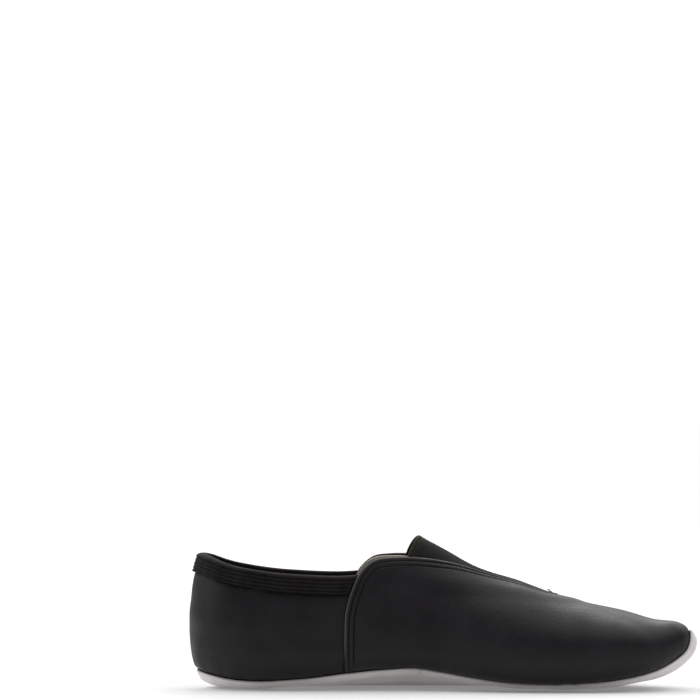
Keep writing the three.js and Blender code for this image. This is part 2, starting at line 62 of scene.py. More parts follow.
# ---- The foot space ----
# The spine runs along the middle from the heel's centre to the ball's. Tables are in steps along the
# length: half widths are [x, inner side, outer side], the others [x, value].
HEEL_CENTRE = 32
BALL_CENTRE = 168
HEEL_REACH = 29.9
HALF_WIDTHS = [[32, 29, 29], [72, 27, 31.5], [108, 26.2, 33.5], [140, 34.8, 38.2], [168, 41, 41]]
TOE_PLAN = [[168, -41], [188, -40.6], [208, -38.2], [224, -33], [236, -25], [242.8, -17.5], [245.6, -8.5],
            [243.8, 1], [238.5, 10], [228, 20.5], [210, 32], [188, 39], [168, 41]]
CREST = [[32, 92], [60, 92], [76, 90], [90, 85], [100, 79.6], [112.5, 73], [125.8, 65.4], [143.8, 56.3],
         [159.8, 50.6], [177, 43.8], [194, 40], [203, 38.4], [218, 36.7], [229, 35.6], [240, 37.8],
         [246, 38.6]]
GIRTH = [[2, 30], [32, 24], [110, 22], [168, 18], [225, 19], [245.6, 23.5]]
ROUNDNESS = [[32, 2.05], [110, 2], [168, 2.15], [225, 2.5], [245.6, 2.8]]
UNDER_PLAN_POWER = 5
UNDER_HEIGHT_POWER = 2.8
STANDING = 4.3
ARCH = [[35, 0], [50, 1], [63.4, 2.1], [76.4, 3.4], [96, 6.2], [110, 7.2], [123, 5.6], [142, 2.6],
        [160, 0.5], [174, 0]]
ARCH_AT_OUTER_SIDE = 0.12
ARCH_SLOPE = (-20, 28)
TOE_SPRING = [[195, 0], [207, 0.5], [220, 1.8], [229, 2.8], [238, 4.5], [245.6, 7]]
# The angle of the sole seam at each place round the outline, and the width turned in under the sole.
FEATHER = [[0, -44], [0.33, -49], [0.67, -57], [1, -60.5], [1.17, -62], [1.33, -54.5], [1.5, -60],
           [1.67, -65], [1.83, -68], [2, -69], [2.17, -69], [2.33, -66.5], [2.5, -58.5], [2.67, -46],
           [2.83, -14], [2.92, 9], [3, 7], [3.17, -29], [3.33, -51], [3.5, -60], [3.67, -66],
           [3.83, -68], [4, -67], [4.17, -63.5], [4.33, -61.5], [4.5, -60.5], [4.67, -59.5],
           [4.83, -61], [5, -60.5], [5.33, -57], [5.67, -49], [6, -44]]
LASTING_MARGIN = 8
# The small moves that slopes are taken over, and the halvings in a search for an angle or an edge.
PLACE_STEP = 0.001
ANGLE_STEP = 0.05
SLOPE_STEP = 0.05
HALVINGS = 28

# ---- Cut lines ----
# The side seam is [height, x], the V edge [x, share of the half width] and the collar [x, height].
SIDE_SEAM = [[0, 76.4], [34.4, 76.7], [42.8, 78.1], [49.9, 80.3], [55.6, 82.5], [60.7, 86], [66, 91]]
EAR_CORNER = 86
V_EDGE = [[80, 0.9], [86, 0.824], [91, 0.765], [98.4, 0.705], [105.6, 0.65], [114.3, 0.58], [123.6, 0.49],
          [134.5, 0.385], [145.3, 0.31], [156, 0.262], [167, 0.18], [173.5, 0.1], [177, 0]]
THROAT = 177
COLLAR_TOP = [[2, 66.2], [5.4, 65.6], [16, 62.3], [24, 60.4], [48.8, 57], [73, 55.9], [90, 56.6]]
COLLAR_DEPTH = 9
COLLAR_LAP = 5
LAP_PRESS = (-1.0, 0.1)
LAPPED_BINDING = (0.65, 0.9, 1.62, 2.08)
GORE_TOP_SIDE = 105
GORE_TOP_CENTRE = 112.5
GORE_MARGIN = 3.6
GORE_UNDER_THROAT = 5
GORE_RIB = 1.4
CLEARANCE = 0.4

# ---- Layers, as distances of their inner and outer faces outside the foot space ----
LINING = (0, 0.6)
UPPER = (1, 2)
PAD = (1, 2)
OUTSOLE = (2.3, 4.3)
OUTSOLE_LIP = 2.95
BINDING_OUTER = (2.4, 3.3)
BINDING_INNER = (-1.4, -0.6)
FOLD_RADIUS = 1.2
FOLD_ROOF = 1
TURNED_IN = -0.15
LAP_LIFT = 1.15
LAP_WIDTH = 8
LAP_FADE = (10, 20)
LAP_FOOT = 0.10
QUARTER_LAP = (12.5, 18)
QUARTER_BUTT = 0.05

# ---- Sewing: rows as distances from the edge, stitches as pitch and thread ----
VAMP_ROWS = (2.0, 4.5)
COLLAR_ROWS = (2.2, 4.0, 5.8, 7.6)
VAMP_PITCH = 2.4
COLLAR_PITCH = 2.1
THREAD_RADIUS = 0.19
STITCH_SHARE = 0.94
STITCH_END = 3
EDGE_SMOOTHINGS = 5
INSET_MOVES = 6
TACK_LENGTH = 3
TACK_TURNS = 15
TACK_SWING = 0.62
LOOSE_ENDS = 6


# ---------------------------------------------------------------------------------------------------
# Shape of the foot space
# ---------------------------------------------------------------------------------------------------

def smooth(rows, at, column=1):
    """A smooth curve through rows of numbers, level at both ends and never overshooting."""
    rows = np.asarray(rows, float)
    x, y = rows[:, 0], rows[:, column]
    width = np.diff(x)
    slope = np.diff(y) / width
    tangent = np.zeros(len(x))
    same_way = slope[:-1] * slope[1:] > 0
    total = np.where(same_way, slope[:-1] + slope[1:], 1)
    tangent[1:-1] = np.where(same_way, 2 * slope[:-1] * slope[1:] / total, 0)
    at = np.clip(at, x[0], x[-1])
    i = np.clip(np.searchsorted(x, at) - 1, 0, len(width) - 1)
    t = (at - x[i]) / width[i]
    bend = width[i] * t * (1 - t) * (tangent[i] * (1 - t) - tangent[i + 1] * t)
    return y[i] + (y[i + 1] - y[i]) * t * t * (3 - 2 * t) + bend


def ramp(start, end, at):
    t = np.clip((np.asarray(at, float) - start) / (end - start), 0, 1)
    return t * t * (3 - 2 * t)


def mix(a, b, t):
    return a + (b - a) * t


def ridge(at, centre, width):
    """A smooth ridge of height one."""
    return np.exp(-((at - centre) / width) ** 2)


def unit(v):
    return v / np.maximum(np.linalg.norm(v, axis=-1, keepdims=True), 1e-9)


TOE_RAYS = [[math.atan2(y, x - BALL_CENTRE), math.hypot(x - BALL_CENTRE, y)] for x, y in TOE_PLAN]


def ray(place):
    """The ray from the spine at a place round the outline: 0 to 1 round the heel, 1 to 2 along the
    inner side, 2 to 4 round the toe, 4 to 5 back along the outer side, 5 to 6 round the heel."""
    s = np.mod(np.asarray(place, float), 6)
    inner = (s > 1) & (s < 2)
    outer = (s > 4) & (s < 5)
    toe = (s >= 2) & (s <= 4)
    turn = np.where(toe, s - 3, np.where(s <= 1, s, s - 6)) * math.pi / 2
    run = BALL_CENTRE - HEEL_CENTRE
    x = np.where(inner, HEEL_CENTRE + run * (s - 1), np.where(outer, BALL_CENTRE - run * (s - 4),
                 np.where(toe, BALL_CENTRE, HEEL_CENTRE)))
    side = inner | outer
    dx = np.where(side, 0, np.where(toe, np.cos(turn), -np.cos(turn)))
    dy = np.where(inner, -1, np.where(outer, 1, np.where(toe, np.sin(turn), -np.sin(turn))))
    heel = mix(HEEL_REACH, HALF_WIDTHS[0][1], np.sin(turn) ** 2)
    reach = np.where(inner, smooth(HALF_WIDTHS, x, 1), np.where(outer, smooth(HALF_WIDTHS, x, 2),
                     np.where(toe, smooth(TOE_RAYS, turn), heel)))
    return x, dx, dy, reach


def place_at(x, side=-1):
    """The place beside a point of the spine, on the inner side or the outer."""
    s = 1 + (x - HEEL_CENTRE) / (BALL_CENTRE - HEEL_CENTRE)
    return s if side < 0 else 6 - s


def half_width(x, y):
    """Half the width beside the spine, on the side of y."""
    x = np.minimum(x, BALL_CENTRE)
    return np.where(y < 0, smooth(HALF_WIDTHS, x, 1), smooth(HALF_WIDTHS, x, 2))


def collar_height(place):
    """Height of the collar's top line."""
    spine, dx, _, reach = ray(place)
    return smooth(COLLAR_TOP, spine + dx * reach)


def bottom_height(x, y):
    arch = smooth(ARCH, x) * mix(1, ARCH_AT_OUTER_SIDE, ramp(*ARCH_SLOPE, y))
    return STANDING + arch + smooth(TOE_SPRING, x)


def foot_point(place, angle):
    """A point of the foot space: angle 90 is the ridge, 0 the widest line, -90 the spine below."""
    spine, dx, dy, reach = ray(place)
    turn = np.radians(np.minimum(90, np.abs(angle)))
    outline = spine + dx * reach
    girth = smooth(GIRTH, outline)
    power = smooth(ROUNDNESS, outline)
    above = np.asarray(angle) >= 0
    across = np.maximum(0, np.cos(turn)) ** (2 / np.where(above, power, UNDER_PLAN_POWER))
    share = np.where(np.abs(angle) >= 90, 0, across)
    x = spine + dx * reach * share
    y = dy * reach * share
    rise = np.sin(turn)
    top = girth + (smooth(CREST, x) - girth) * rise ** (2 / power)
    under = girth - (girth - bottom_height(x, y)) * rise ** (2 / UNDER_HEIGHT_POWER)
    return np.stack(np.broadcast_arrays(x, y, np.where(above, top, under)), -1)


def foot_normal(place, angle):
    """The way out of the foot space, taken from the spine's slope where the rays meet."""
    along = foot_point(place + PLACE_STEP, angle) - foot_point(place - PLACE_STEP, angle)
    upward = foot_point(place, np.minimum(89.9, angle + ANGLE_STEP)) - foot_point(place, angle - ANGLE_STEP)
    wall = unit(np.cross(along, upward))
    p = foot_point(place, angle)
    x, y = p[..., 0], p[..., 1]
    d = SLOPE_STEP
    up = np.where(np.asarray(angle) > 0, 1.0, -1.0)
    slope_x = np.where(up > 0, smooth(CREST, x + d) - smooth(CREST, x - d),
                       bottom_height(x + d, y) - bottom_height(x - d, y)) / (2 * d)
    slope_y = np.where(up > 0, 0, bottom_height(x, y + d) - bottom_height(x, y - d)) / (2 * d)
    spine = unit(np.stack([-slope_x * up, -slope_y * up, up], -1))
    return np.where((np.abs(angle) > 89.5)[..., None], spine, wall)


def layer_point(place, angle, distance):
    """A point at a distance outside the foot space."""
    distance = np.asarray(distance, float)
    return foot_point(place, angle) + foot_normal(place, angle) * distance[..., None]


def angle_at(place, height, distance):
    """The angle at which a layer reaches a height."""
    place, height, distance = np.broadcast_arrays(np.asarray(place, float), height, distance)
    low = np.full(place.shape, -84.0)
    high = np.full(place.shape, 89.0)
    for _ in range(HALVINGS):
        middle = (low + high) / 2
        below = layer_point(place, middle, distance)[..., 2] < height
        low = np.where(below, middle, low)
        high = np.where(below, high, middle)
    return (low + high) / 2


def feather_angle(place):
    """The angle of the sole seam."""
    return smooth(FEATHER, np.mod(place, 6))


def margin_angle(place):
    """The angle at which the upper's turned margin ends under the sole."""
    reach = ray(place)[3]
    turn = np.radians(feather_angle(place))
    share = np.where(turn < 0, np.cos(turn) ** (2 / UNDER_PLAN_POWER), 1)
    inboard = np.minimum(0.98, share - LASTING_MARGIN / reach)
    return -np.degrees(np.arccos(inboard ** (UNDER_PLAN_POWER / 2)))


def under_angle(place, row):
    """Rows under the foot: 0 is the sole seam, 1 the end of the turned margin and 2 the spine."""
    margin = margin_angle(place)
    return np.where(row <= 1, mix(feather_angle(place), margin, row), mix(margin, -90, row - 1))


def angle_of_share(place, share):
    """The angle above the widest line at a share of the reach."""
    spine, dx, _, reach = ray(place)
    power = smooth(ROUNDNESS, spine + dx * reach)
    return np.degrees(np.arccos(np.clip(share, 0, 1) ** (power / 2)))


def v_edge_angle(place):
    """The V edge on the ray at a place."""
    spine, dx, dy, reach = ray(place)
    wide = half_width(spine, dy)
    low = np.zeros(spine.shape)
    high = np.full(spine.shape, THROAT - BALL_CENTRE + 0.001)
    for _ in range(HALVINGS):
        middle = (low + high) / 2
        inside = np.abs(dy * middle) < smooth(V_EDGE, spine + dx * middle) * wide
        low = np.where(inside, middle, low)
        high = np.where(inside, high, middle)
    along_side = np.abs(dx) < 1e-9
    return angle_of_share(place, np.where(along_side, smooth(V_EDGE, spine), low / reach))


def surface_above(x, y):
    """Place and angle of the point of the upper surface over (x, y) in plan."""
    x, y = np.broadcast_arrays(np.asarray(x, float), y)
    behind = x <= BALL_CENTRE
    side_place = 1 + (x - HEEL_CENTRE) / (BALL_CENTRE - HEEL_CENTRE)
    side_place = np.where(y < 0, side_place, 6 - side_place)
    toe_place = 3 + np.arctan2(y, x - BALL_CENTRE) / (math.pi / 2)
    place = np.where(behind, side_place, toe_place)
    out = np.where(behind, np.abs(y), np.hypot(x - BALL_CENTRE, y))
    return place, angle_of_share(place, out / ray(place)[3])


def steps(start, end, count):
    """Even values with both ends."""
    return np.linspace(start, end, count + 1)


def graded(*stretches):
    """Values in stretches of (start, end, count), each value once."""
    lists = [steps(*stretch) for stretch in stretches]
    return np.concatenate([lists[0]] + [values[1:] for values in lists[1:]])


def lengths(points):
    """Distances along a line of points."""
    return np.concatenate([[0], np.cumsum(np.linalg.norm(np.diff(points, axis=0), axis=-1))])


def ripple(points, wavelength, seed, waves=7):
    """A soft random field of about unit height with one wavelength."""
    rng = np.random.default_rng(seed)
    total = np.zeros(points.shape[:-1])
    for _ in range(waves):
        way = unit(rng.normal(size=3)) * 2 * math.pi / (wavelength * rng.uniform(0.75, 1.35))
        total += np.sin(points @ way + rng.uniform(0, 2 * math.pi))
    return total / math.sqrt(waves / 2)


# ---------------------------------------------------------------------------------------------------
# The vamp's patch and its cut edge
# ---------------------------------------------------------------------------------------------------

def vamp_place(u, v, side):
    """One side of the vamp: u from the side seam to straight ahead, v from the sole to the V edge."""
    u, v = np.broadcast_arrays(np.asarray(u, float), v)

    def inner(s):
        return s if side < 0 else 6 - s

    seam = np.full(u.shape, place_at(SIDE_SEAM[0][1]))
    ear = np.full(u.shape, place_at(EAR_CORNER))
    ahead = np.full(u.shape, 3.0)

    def along(start):
        return np.where(u < 0.5, mix(start, 2, u * 2), mix(2, 3, u * 2 - 1))

    bottom = (along(seam), feather_angle(inner(along(seam))))
    top = (along(ear), v_edge_angle(inner(along(ear))))
    seam_foot = (seam, feather_angle(inner(seam)))
    corner = (ear, v_edge_angle(inner(ear)))
    corner_height = layer_point(inner(ear), corner[1], UPPER[1])[..., 2]
    foot_height = layer_point(inner(seam), seam_foot[1], UPPER[1])[..., 2]
    height = mix(foot_height, corner_height, v)
    slip = EAR_CORNER - smooth(SIDE_SEAM, corner_height)
    rear_place = place_at(smooth(SIDE_SEAM, height) + slip * v ** 8)
    rear = (rear_place, angle_at(inner(rear_place), height, UPPER[1]))
    front = (ahead, mix(feather_angle(ahead), v_edge_angle(ahead), v))
    toe_foot = (ahead, feather_angle(ahead))
    throat = (ahead, v_edge_angle(ahead))

    def blend(k):
        corners = mix(mix(seam_foot[k], toe_foot[k], u), mix(corner[k], throat[k], u), v)
        return mix(bottom[k], top[k], v) + mix(rear[k], front[k], u) - corners

    return inner(blend(0)), blend(1)


class CutEdge:
    """The vamp's rear and V edges as one line, with each point's distance from it and place along it."""

    def __init__(self):
        lines = []
        for side in (-1, 1):
            rear = vamp_place(0, steps(0, 1, 500), side)
            v_line = vamp_place(steps(0, 1, 1400)[1:], 1, side)
            place, angle = (np.concatenate(pair) for pair in zip(rear, v_line))
            lines.append((place, angle) if side < 0 else (place[:-1][::-1], angle[:-1][::-1]))
        self.place, self.angle = (np.concatenate(pair) for pair in zip(*lines))
        self.points = foot_point(self.place, self.angle)
        self.run = lengths(self.points)
        self.tree = KDTree(len(self.points))
        for i, p in enumerate(self.points):
            self.tree.insert(p, i)
        self.tree.balance()

    def measure(self, points):
        """Each point's distance from the edge, and the run along the edge beside it."""
        flat = points.reshape(-1, 3)
        found = [self.tree.find(p)[1:] for p in flat]
        away = np.array([f[1] for f in found]).reshape(points.shape[:-1])
        run = self.run[[f[0] for f in found]].reshape(points.shape[:-1])
        return away, run

    def inset(self, distance, spacing):
        """Places along a line at a set distance in from the edge, reached in small moves."""
        count = int(self.run[-1] / spacing)
        run = np.linspace(STITCH_END, self.run[-1] - STITCH_END, count)
        place = np.interp(run, self.run, self.place)
        angle = np.interp(run, self.run, self.angle)
        at = foot_point(place, angle)
        along = unit(np.gradient(at, axis=0))
        for _ in range(EDGE_SMOOTHINGS):
            along[1:-1] = unit(along[:-2] + along[1:-1] + along[2:])
        normal = foot_normal(place, angle)
        move = unit(np.cross(along, normal)) * (distance / INSET_MOVES)
        for _ in range(INSET_MOVES):
            place, angle = nudge(place, angle, move)
        return place, angle


def nudge(place, angle, move):
    """Moves places on the foot space by a small step along the surface."""
    at = foot_point(place, angle)
    along = (foot_point(place + PLACE_STEP, angle) - at) / PLACE_STEP
    up = (foot_point(place, angle + ANGLE_STEP) - at) / ANGLE_STEP
    aa, bb, ab = (np.sum(p * q, -1) for p, q in ((along, along), (up, up), (along, up)))
    a, b = np.sum(along * move, -1), np.sum(up * move, -1)
    det = aa * bb - ab * ab
    return place + (a * bb - b * ab) / det, angle + (b * aa - a * ab) / det


EDGE = CutEdge()


def lap_lift(away, share):
    """How far the vamp stands off its neighbours' layer, as it laps over the quarter and the gore."""
    return LAP_LIFT * (1 - ramp(*LAP_FADE, away)) * ramp(0, LAP_FOOT, share)


# ---------------------------------------------------------------------------------------------------
# Meshes
# ---------------------------------------------------------------------------------------------------

def to_frame(points):
    """From millimetres ahead of the heel to the frame's metres."""
    return (points + np.array([HEEL_X, 0, 0])) * MM


def placed(name, data):
    """A new object in the scene."""
    thing = bpy.data.objects.new(name, data)
    bpy.context.scene.collection.objects.link(thing)
    return thing


def new_piece(name, points, faces, material, uv, marks, merge):
    """A closed smooth mesh from points in millimetres, with its cut map and its marks."""
    mesh = bpy.data.meshes.new(name)
    mesh.from_pydata(to_frame(points).tolist(), [], faces)
    layer = mesh.uv_layers.new(name="cut")
    corner = np.empty(len(mesh.loops), dtype=np.int32)
    mesh.loops.foreach_get("vertex_index", corner)
    layer.data.foreach_set("uv", uv[corner].astype(np.float32).ravel())
    for key, values in marks.items():
        mark = mesh.attributes.new(key, "FLOAT", "POINT")
        mark.data.foreach_set("value", values.astype(np.float32).ravel())
    if merge:
        shape = bmesh.new()
        shape.from_mesh(mesh)
        bmesh.ops.remove_doubles(shape, verts=shape.verts, dist=2e-6)
        bmesh.ops.recalc_face_normals(shape, faces=shape.faces)
        shape.to_mesh(mesh)
        shape.free()
    mesh.polygons.foreach_set("use_smooth", [True] * len(mesh.polygons))
    mesh.materials.append(material)
    return placed(name, mesh)


def strip(a, b, c, d):
    """Faces between four grids of corners."""
    return np.stack([a.ravel(), b.ravel(), c.ravel(), d.ravel()], -1).tolist()


def sheet_faces(columns, rows, round_sheet, downward):
    """Faces of a sheet with an outer grid and an inner grid, closed along its edges."""
    grid = np.arange(columns * rows).reshape(columns, rows)
    outer, inner = grid, grid + columns * rows
    if round_sheet:
        outer = np.vstack([outer, outer[:1]])
        inner = np.vstack([inner, inner[:1]])
    faces = strip(outer[:-1, :-1], outer[1:, :-1], outer[1:, 1:], outer[:-1, 1:])
    faces += strip(inner[:-1, :-1], inner[:-1, 1:], inner[1:, 1:], inner[1:, :-1])
    faces += strip(outer[:-1, 0], inner[:-1, 0], inner[1:, 0], outer[1:, 0])
    if not round_sheet:
        faces += strip(outer[1:, -1], inner[1:, -1], inner[:-1, -1], outer[:-1, -1])
        faces += strip(outer[0, 1:], inner[0, 1:], inner[0, :-1], outer[0, :-1])
        faces += strip(outer[-1, :-1], inner[-1, :-1], inner[-1, 1:], outer[-1, 1:])
    return [face[::-1] for face in faces] if downward else faces


def sheet_piece(name, outer, inner, material, marks=None, round_sheet=False, downward=False):
    """A piece from grids of outer and inner points, with a map in millimetres along the sheet."""
    columns, rows = outer.shape[:2]
    across = np.zeros((columns, rows))
    across[1:] = np.cumsum(np.linalg.norm(np.diff(outer, axis=0), axis=-1).mean(axis=1))[:, None]
    uv = np.stack([across, row_lengths(outer, 0)[0]], -1).reshape(-1, 2)
    points = np.concatenate([outer.reshape(-1, 3), inner.reshape(-1, 3)])
    doubled = {key: np.concatenate([v.ravel(), v.ravel()]) for key, v in (marks or {}).items()}
    faces = sheet_faces(columns, rows, round_sheet, downward)
    return new_piece(name, points, faces, material, np.concatenate([uv, uv]), doubled, round_sheet)


def finished(piece, node):
    """Fixes a piece to the body in place of its plain solid."""
    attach(piece, BODY)
    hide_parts(node)
    return piece


# ---------------------------------------------------------------------------------------------------
# Finishes
# ---------------------------------------------------------------------------------------------------

# Pairs of tones, from the darker to the lighter.
LEATHER_TONES = (0.0096, 0.0080, 0.0098), (0.0142, 0.0122, 0.0145)
# The raw cut edge's own lighter grey, also laid on as a painted highlight over puffed bands and gather
# crests.
LEATHER_EDGE_AND_HIGHLIGHT = (0.17, 0.162, 0.166)
# Painted shade: the leather's near black for stitch grooves, seams and the line under the binding.
LEATHER_PAINTED_SHADE = (0.003, 0.0027, 0.003)
SUEDE_TONES = (0.77, 0.735, 0.735), (0.88, 0.84, 0.835)
SUEDE_NAP = (0.90, 0.865, 0.86)
# Painted shade for the sole's seam, arch fold, floor contact and arch underside.
SUEDE_PAINTED_SHADE = (0.22, 0.205, 0.21)
GORE_TONES = (0.0064, 0.0056, 0.0048), (0.0098, 0.0088, 0.0074)
# Painted shade for the valleys between the gore's ribs.
GORE_SHADE_BETWEEN_RIBS = (0.0030, 0.0028, 0.0024)
GORE_TOP_EDGE = (0.040, 0.037, 0.021)
COLLAR_TONES = (0.0095, 0.0074, 0.0077), (0.0150, 0.0120, 0.0124)
# Painted shade for the binding's sunk stitch rows and its lower edge.
COLLAR_GROOVE_SHADE = (0.0012, 0.001, 0.001)
TWILL_TONES = (0.50, 0.47, 0.42), (0.64, 0.61, 0.55)
SOCK_TONES = (0.45, 0.42, 0.39), (0.56, 0.53, 0.49)
FOAM_TONES = (0.66, 0.62, 0.51), (0.78, 0.75, 0.66)
# Painted shade for the pits of the foam's bubbles.
FOAM_PIT_SHADE = (0.42, 0.39, 0.31)
THREAD_TONES = (0.0030, 0.0026, 0.0028), (0.0070, 0.0060, 0.0064)
YARN_TONES = (0.30, 0.29, 0.27), (0.55, 0.53, 0.50)


class Finish:
    """A material with a Principled shader, and short calls for the nodes that feed it."""

    def __init__(self, name, roughness, sheen=0.0, specular=0.5):
        self.material = bpy.data.materials.new(name)
        self.material.use_nodes = True
        self.tree = self.material.node_tree
        self.shader = self.tree.nodes["Principled BSDF"]
        self.shader.inputs["Roughness"].default_value = roughness
        self.shader.inputs["Specular IOR Level"].default_value = specular
        self.shader.inputs["Sheen Weight"].default_value = sheen
        self.shader.inputs["Sheen Roughness"].default_value = 0.45
        self.where = self.node("ShaderNodeTexCoord")

    def node(self, kind, **settings):
        made = self.tree.nodes.new(kind)
        for key, value in settings.items():
            setattr(made, key, value)
        return made

    def feed(self, socket, value):
        if isinstance(value, bpy.types.NodeSocket):
            self.tree.links.new(value, socket)
        else:
            socket.default_value = value

    def noise(self, scale, detail=2.0, rough=0.5, stretch=None, distortion=0.0):
        made = self.node("ShaderNodeTexNoise")
        self.feed(made.inputs["Vector"], self.spot(stretch))
        made.inputs["Scale"].default_value = scale
        made.inputs["Detail"].default_value = detail
        made.inputs["Roughness"].default_value = rough
        made.inputs["Distortion"].default_value = distortion
        return made.outputs["Fac"]

    def cells(self, scale):
        made = self.node("ShaderNodeTexVoronoi")
        self.feed(made.inputs["Vector"], self.spot(None))
        made.inputs["Scale"].default_value = scale
        return made.outputs["Distance"]

    def spot(self, stretch):
        if stretch is None:
            return self.where.outputs["Object"]
        made = self.node("ShaderNodeMapping")
        self.feed(made.inputs["Vector"], self.where.outputs["Object"])
        made.inputs["Scale"].default_value = stretch
        return made.outputs["Vector"]

    def ribs(self, pitch, direction="X", turn=0.0, distortion=0.0):
        """Even ridges across the cut map, one every pitch millimetres."""
        made = self.node("ShaderNodeTexWave", wave_type="BANDS", bands_direction=direction)
        place = self.node("ShaderNodeMapping")
        self.feed(place.inputs["Vector"], self.where.outputs["UV"])
        place.inputs["Rotation"].default_value = (0, 0, turn)
        self.feed(made.inputs["Vector"], place.outputs["Vector"])
        made.inputs["Scale"].default_value = math.pi / 10 / pitch
        made.inputs["Distortion"].default_value = distortion
        made.inputs["Detail"].default_value = 1
        return made.outputs["Fac"]

    def mark(self, name):
        """A value that the mesh carries at each point."""
        return self.node("ShaderNodeAttribute", attribute_name=name).outputs["Fac"]

    def maths(self, operation, a, b=0.0):
        made = self.node("ShaderNodeMath", operation=operation)
        self.feed(made.inputs[0], a)
        self.feed(made.inputs[1], b)
        return made.outputs[0]

    def levels(self, value, *limits):
        """Maps a value smoothly from its low and high limits to 0 and 1, or to two limits more."""
        made = self.node("ShaderNodeMapRange", interpolation_type="SMOOTHSTEP")
        self.feed(made.inputs["Value"], value)
        for key, number in zip(("From Min", "From Max", "To Min", "To Max"), limits):
            made.inputs[key].default_value = number
        return made.outputs["Result"]

    def blend(self, amount, a, b):
        """From colour a to colour b."""
        made = self.node("ShaderNodeMix", data_type="RGBA")
        self.feed(made.inputs[0], amount)
        for socket, value in zip((made.inputs[6], made.inputs[7]), (a, b)):
            self.feed(socket, value if isinstance(value, bpy.types.NodeSocket) else (*value, 1))
        return made.outputs[2]

    def bump(self, height, distance, strength=1.0, below=None):
        """Relief of a height map, its distance in millimetres."""
        made = self.node("ShaderNodeBump")
        self.feed(made.inputs["Height"], height)
        made.inputs["Distance"].default_value = distance * MM
        made.inputs["Strength"].default_value = strength
        if below is not None:
            self.feed(made.inputs["Normal"], below)
        return made.outputs["Normal"]

    def done(self, color, normal, roughness=None):
        self.feed(self.shader.inputs["Base Color"], color)
        self.feed(self.shader.inputs["Normal"], normal)
        if roughness is not None:
            self.feed(self.shader.inputs["Roughness"], roughness)
        return self.material


def black_leather():
    f = Finish("black_glove_leather", 0.42, specular=0.24)
    patches = f.noise(38, detail=3)
    pores = f.noise(900, detail=3, rough=0.6)
    wrinkles = f.noise(260, detail=4, rough=0.62, stretch=(1, 1, 1.6), distortion=0.6)
    grain = f.cells(1250)
    tone = f.blend(f.levels(patches, 0.35, 0.7), *LEATHER_TONES)
    # Lighter on the raw cut edge in its own colour, and a painted highlight on puffed bands and gather
    # crests.
    tone = f.blend(f.maths("MULTIPLY", f.mark("edge_tint_and_highlight"), 0.75), tone, LEATHER_EDGE_AND_HIGHLIGHT)
    # Painted shade in the stitch grooves, along the sole seam and under the binding.
    tone = f.blend(f.mark("painted_shade"), tone, LEATHER_PAINTED_SHADE)
    relief = f.bump(grain, 0.10, 0.55)
    relief = f.bump(wrinkles, 0.28, 0.5, below=relief)
    relief = f.bump(pores, 0.07, 0.5, below=relief)
    gloss = f.maths("ADD", f.levels(patches, 0.3, 0.75, 0.44, 0.54), f.levels(pores, 0.4, 0.7, 0.0, 0.08))
    return f.done(tone, relief, gloss)


def white_suede():
    f = Finish("white_brushed_suede", 0.95, sheen=0.35, specular=0.2)
    brushed = f.noise(55, detail=4, rough=0.6, stretch=(0.5, 1.4, 1))
    nap = f.noise(1500, detail=3, rough=0.7)
    clumps = f.noise(420, detail=3, rough=0.6, stretch=(0.6, 1.3, 1))
    tone = f.blend(f.levels(brushed, 0.3, 0.72), *SUEDE_TONES)
    tone = f.blend(f.levels(clumps, 0.42, 0.75, 0, 0.35), tone, SUEDE_NAP)
    # Painted shade on the sole.
    tone = f.blend(f.maths("MULTIPLY", f.mark("painted_shade"), 0.7), tone, SUEDE_PAINTED_SHADE)
    relief = f.bump(clumps, 0.22, 0.5)
    relief = f.bump(nap, 0.12, 0.7, below=relief)
    return f.done(tone, relief)


def gore_webbing():
    f = Finish("black_ribbed_gore", 0.8, specular=0.16)
    yarn = f.ribs(0.62, "X", distortion=0.4)
    lines = f.ribs(GORE_RIB / 3, "Y")
    uneven = f.noise(60, detail=3)
    tone = f.blend(f.levels(uneven, 0.3, 0.7), *GORE_TONES)
    # Painted shade between the ribs.
    tone = f.blend(f.maths("MULTIPLY", f.mark("rib"), 0.55), tone, GORE_SHADE_BETWEEN_RIBS)
    tone = f.blend(f.mark("edge_tint_and_highlight"), tone, GORE_TOP_EDGE)
    relief = f.bump(yarn, 0.10, 0.6)
    relief = f.bump(lines, 0.07, 0.5, below=relief)
    relief = f.bump(f.noise(1800, detail=2), 0.05, 0.5, below=relief)
    return f.done(tone, relief)


def collar_webbing():
    f = Finish("black_collar_elastic", 0.8, specular=0.18)
    yarn = f.ribs(0.7, "X", distortion=0.3)
    cross = f.ribs(0.45, "Y")
    uneven = f.noise(90, detail=3)
    tone = f.blend(f.levels(uneven, 0.3, 0.7), *COLLAR_TONES)
    # Painted shade in the stitch rows and along the lower edge.
    tone = f.blend(f.maths("MULTIPLY", f.mark("painted_shade"), 0.8), tone, COLLAR_GROOVE_SHADE)
    relief = f.bump(yarn, 0.12, 0.6)
    relief = f.bump(cross, 0.06, 0.5, below=relief)
    relief = f.bump(f.noise(1700, detail=2), 0.05, 0.4, below=relief)
    return f.done(tone, relief)


def cotton_twill(name, dark, light, pitch):
    f = Finish(name, 0.92, sheen=0.2, specular=0.2)
    twill = f.ribs(pitch, "X", turn=math.radians(52), distortion=0.25)
    weft = f.ribs(pitch * 0.8, "Y")
    uneven = f.noise(45, detail=4)
    tone = f.blend(f.levels(uneven, 0.3, 0.7), dark, light)
    # Painted shade: the twill's valleys take a darker copy of the cloth.
    tone = f.blend(f.levels(twill, 0.0, 0.45, 0.35, 0.0), tone, tuple(c * 0.55 for c in dark))
    relief = f.bump(twill, 0.16, 0.7)
    relief = f.bump(weft, 0.05, 0.4, below=relief)
    relief = f.bump(f.noise(1600, detail=2), 0.06, 0.5, below=relief)
    return f.done(tone, relief)


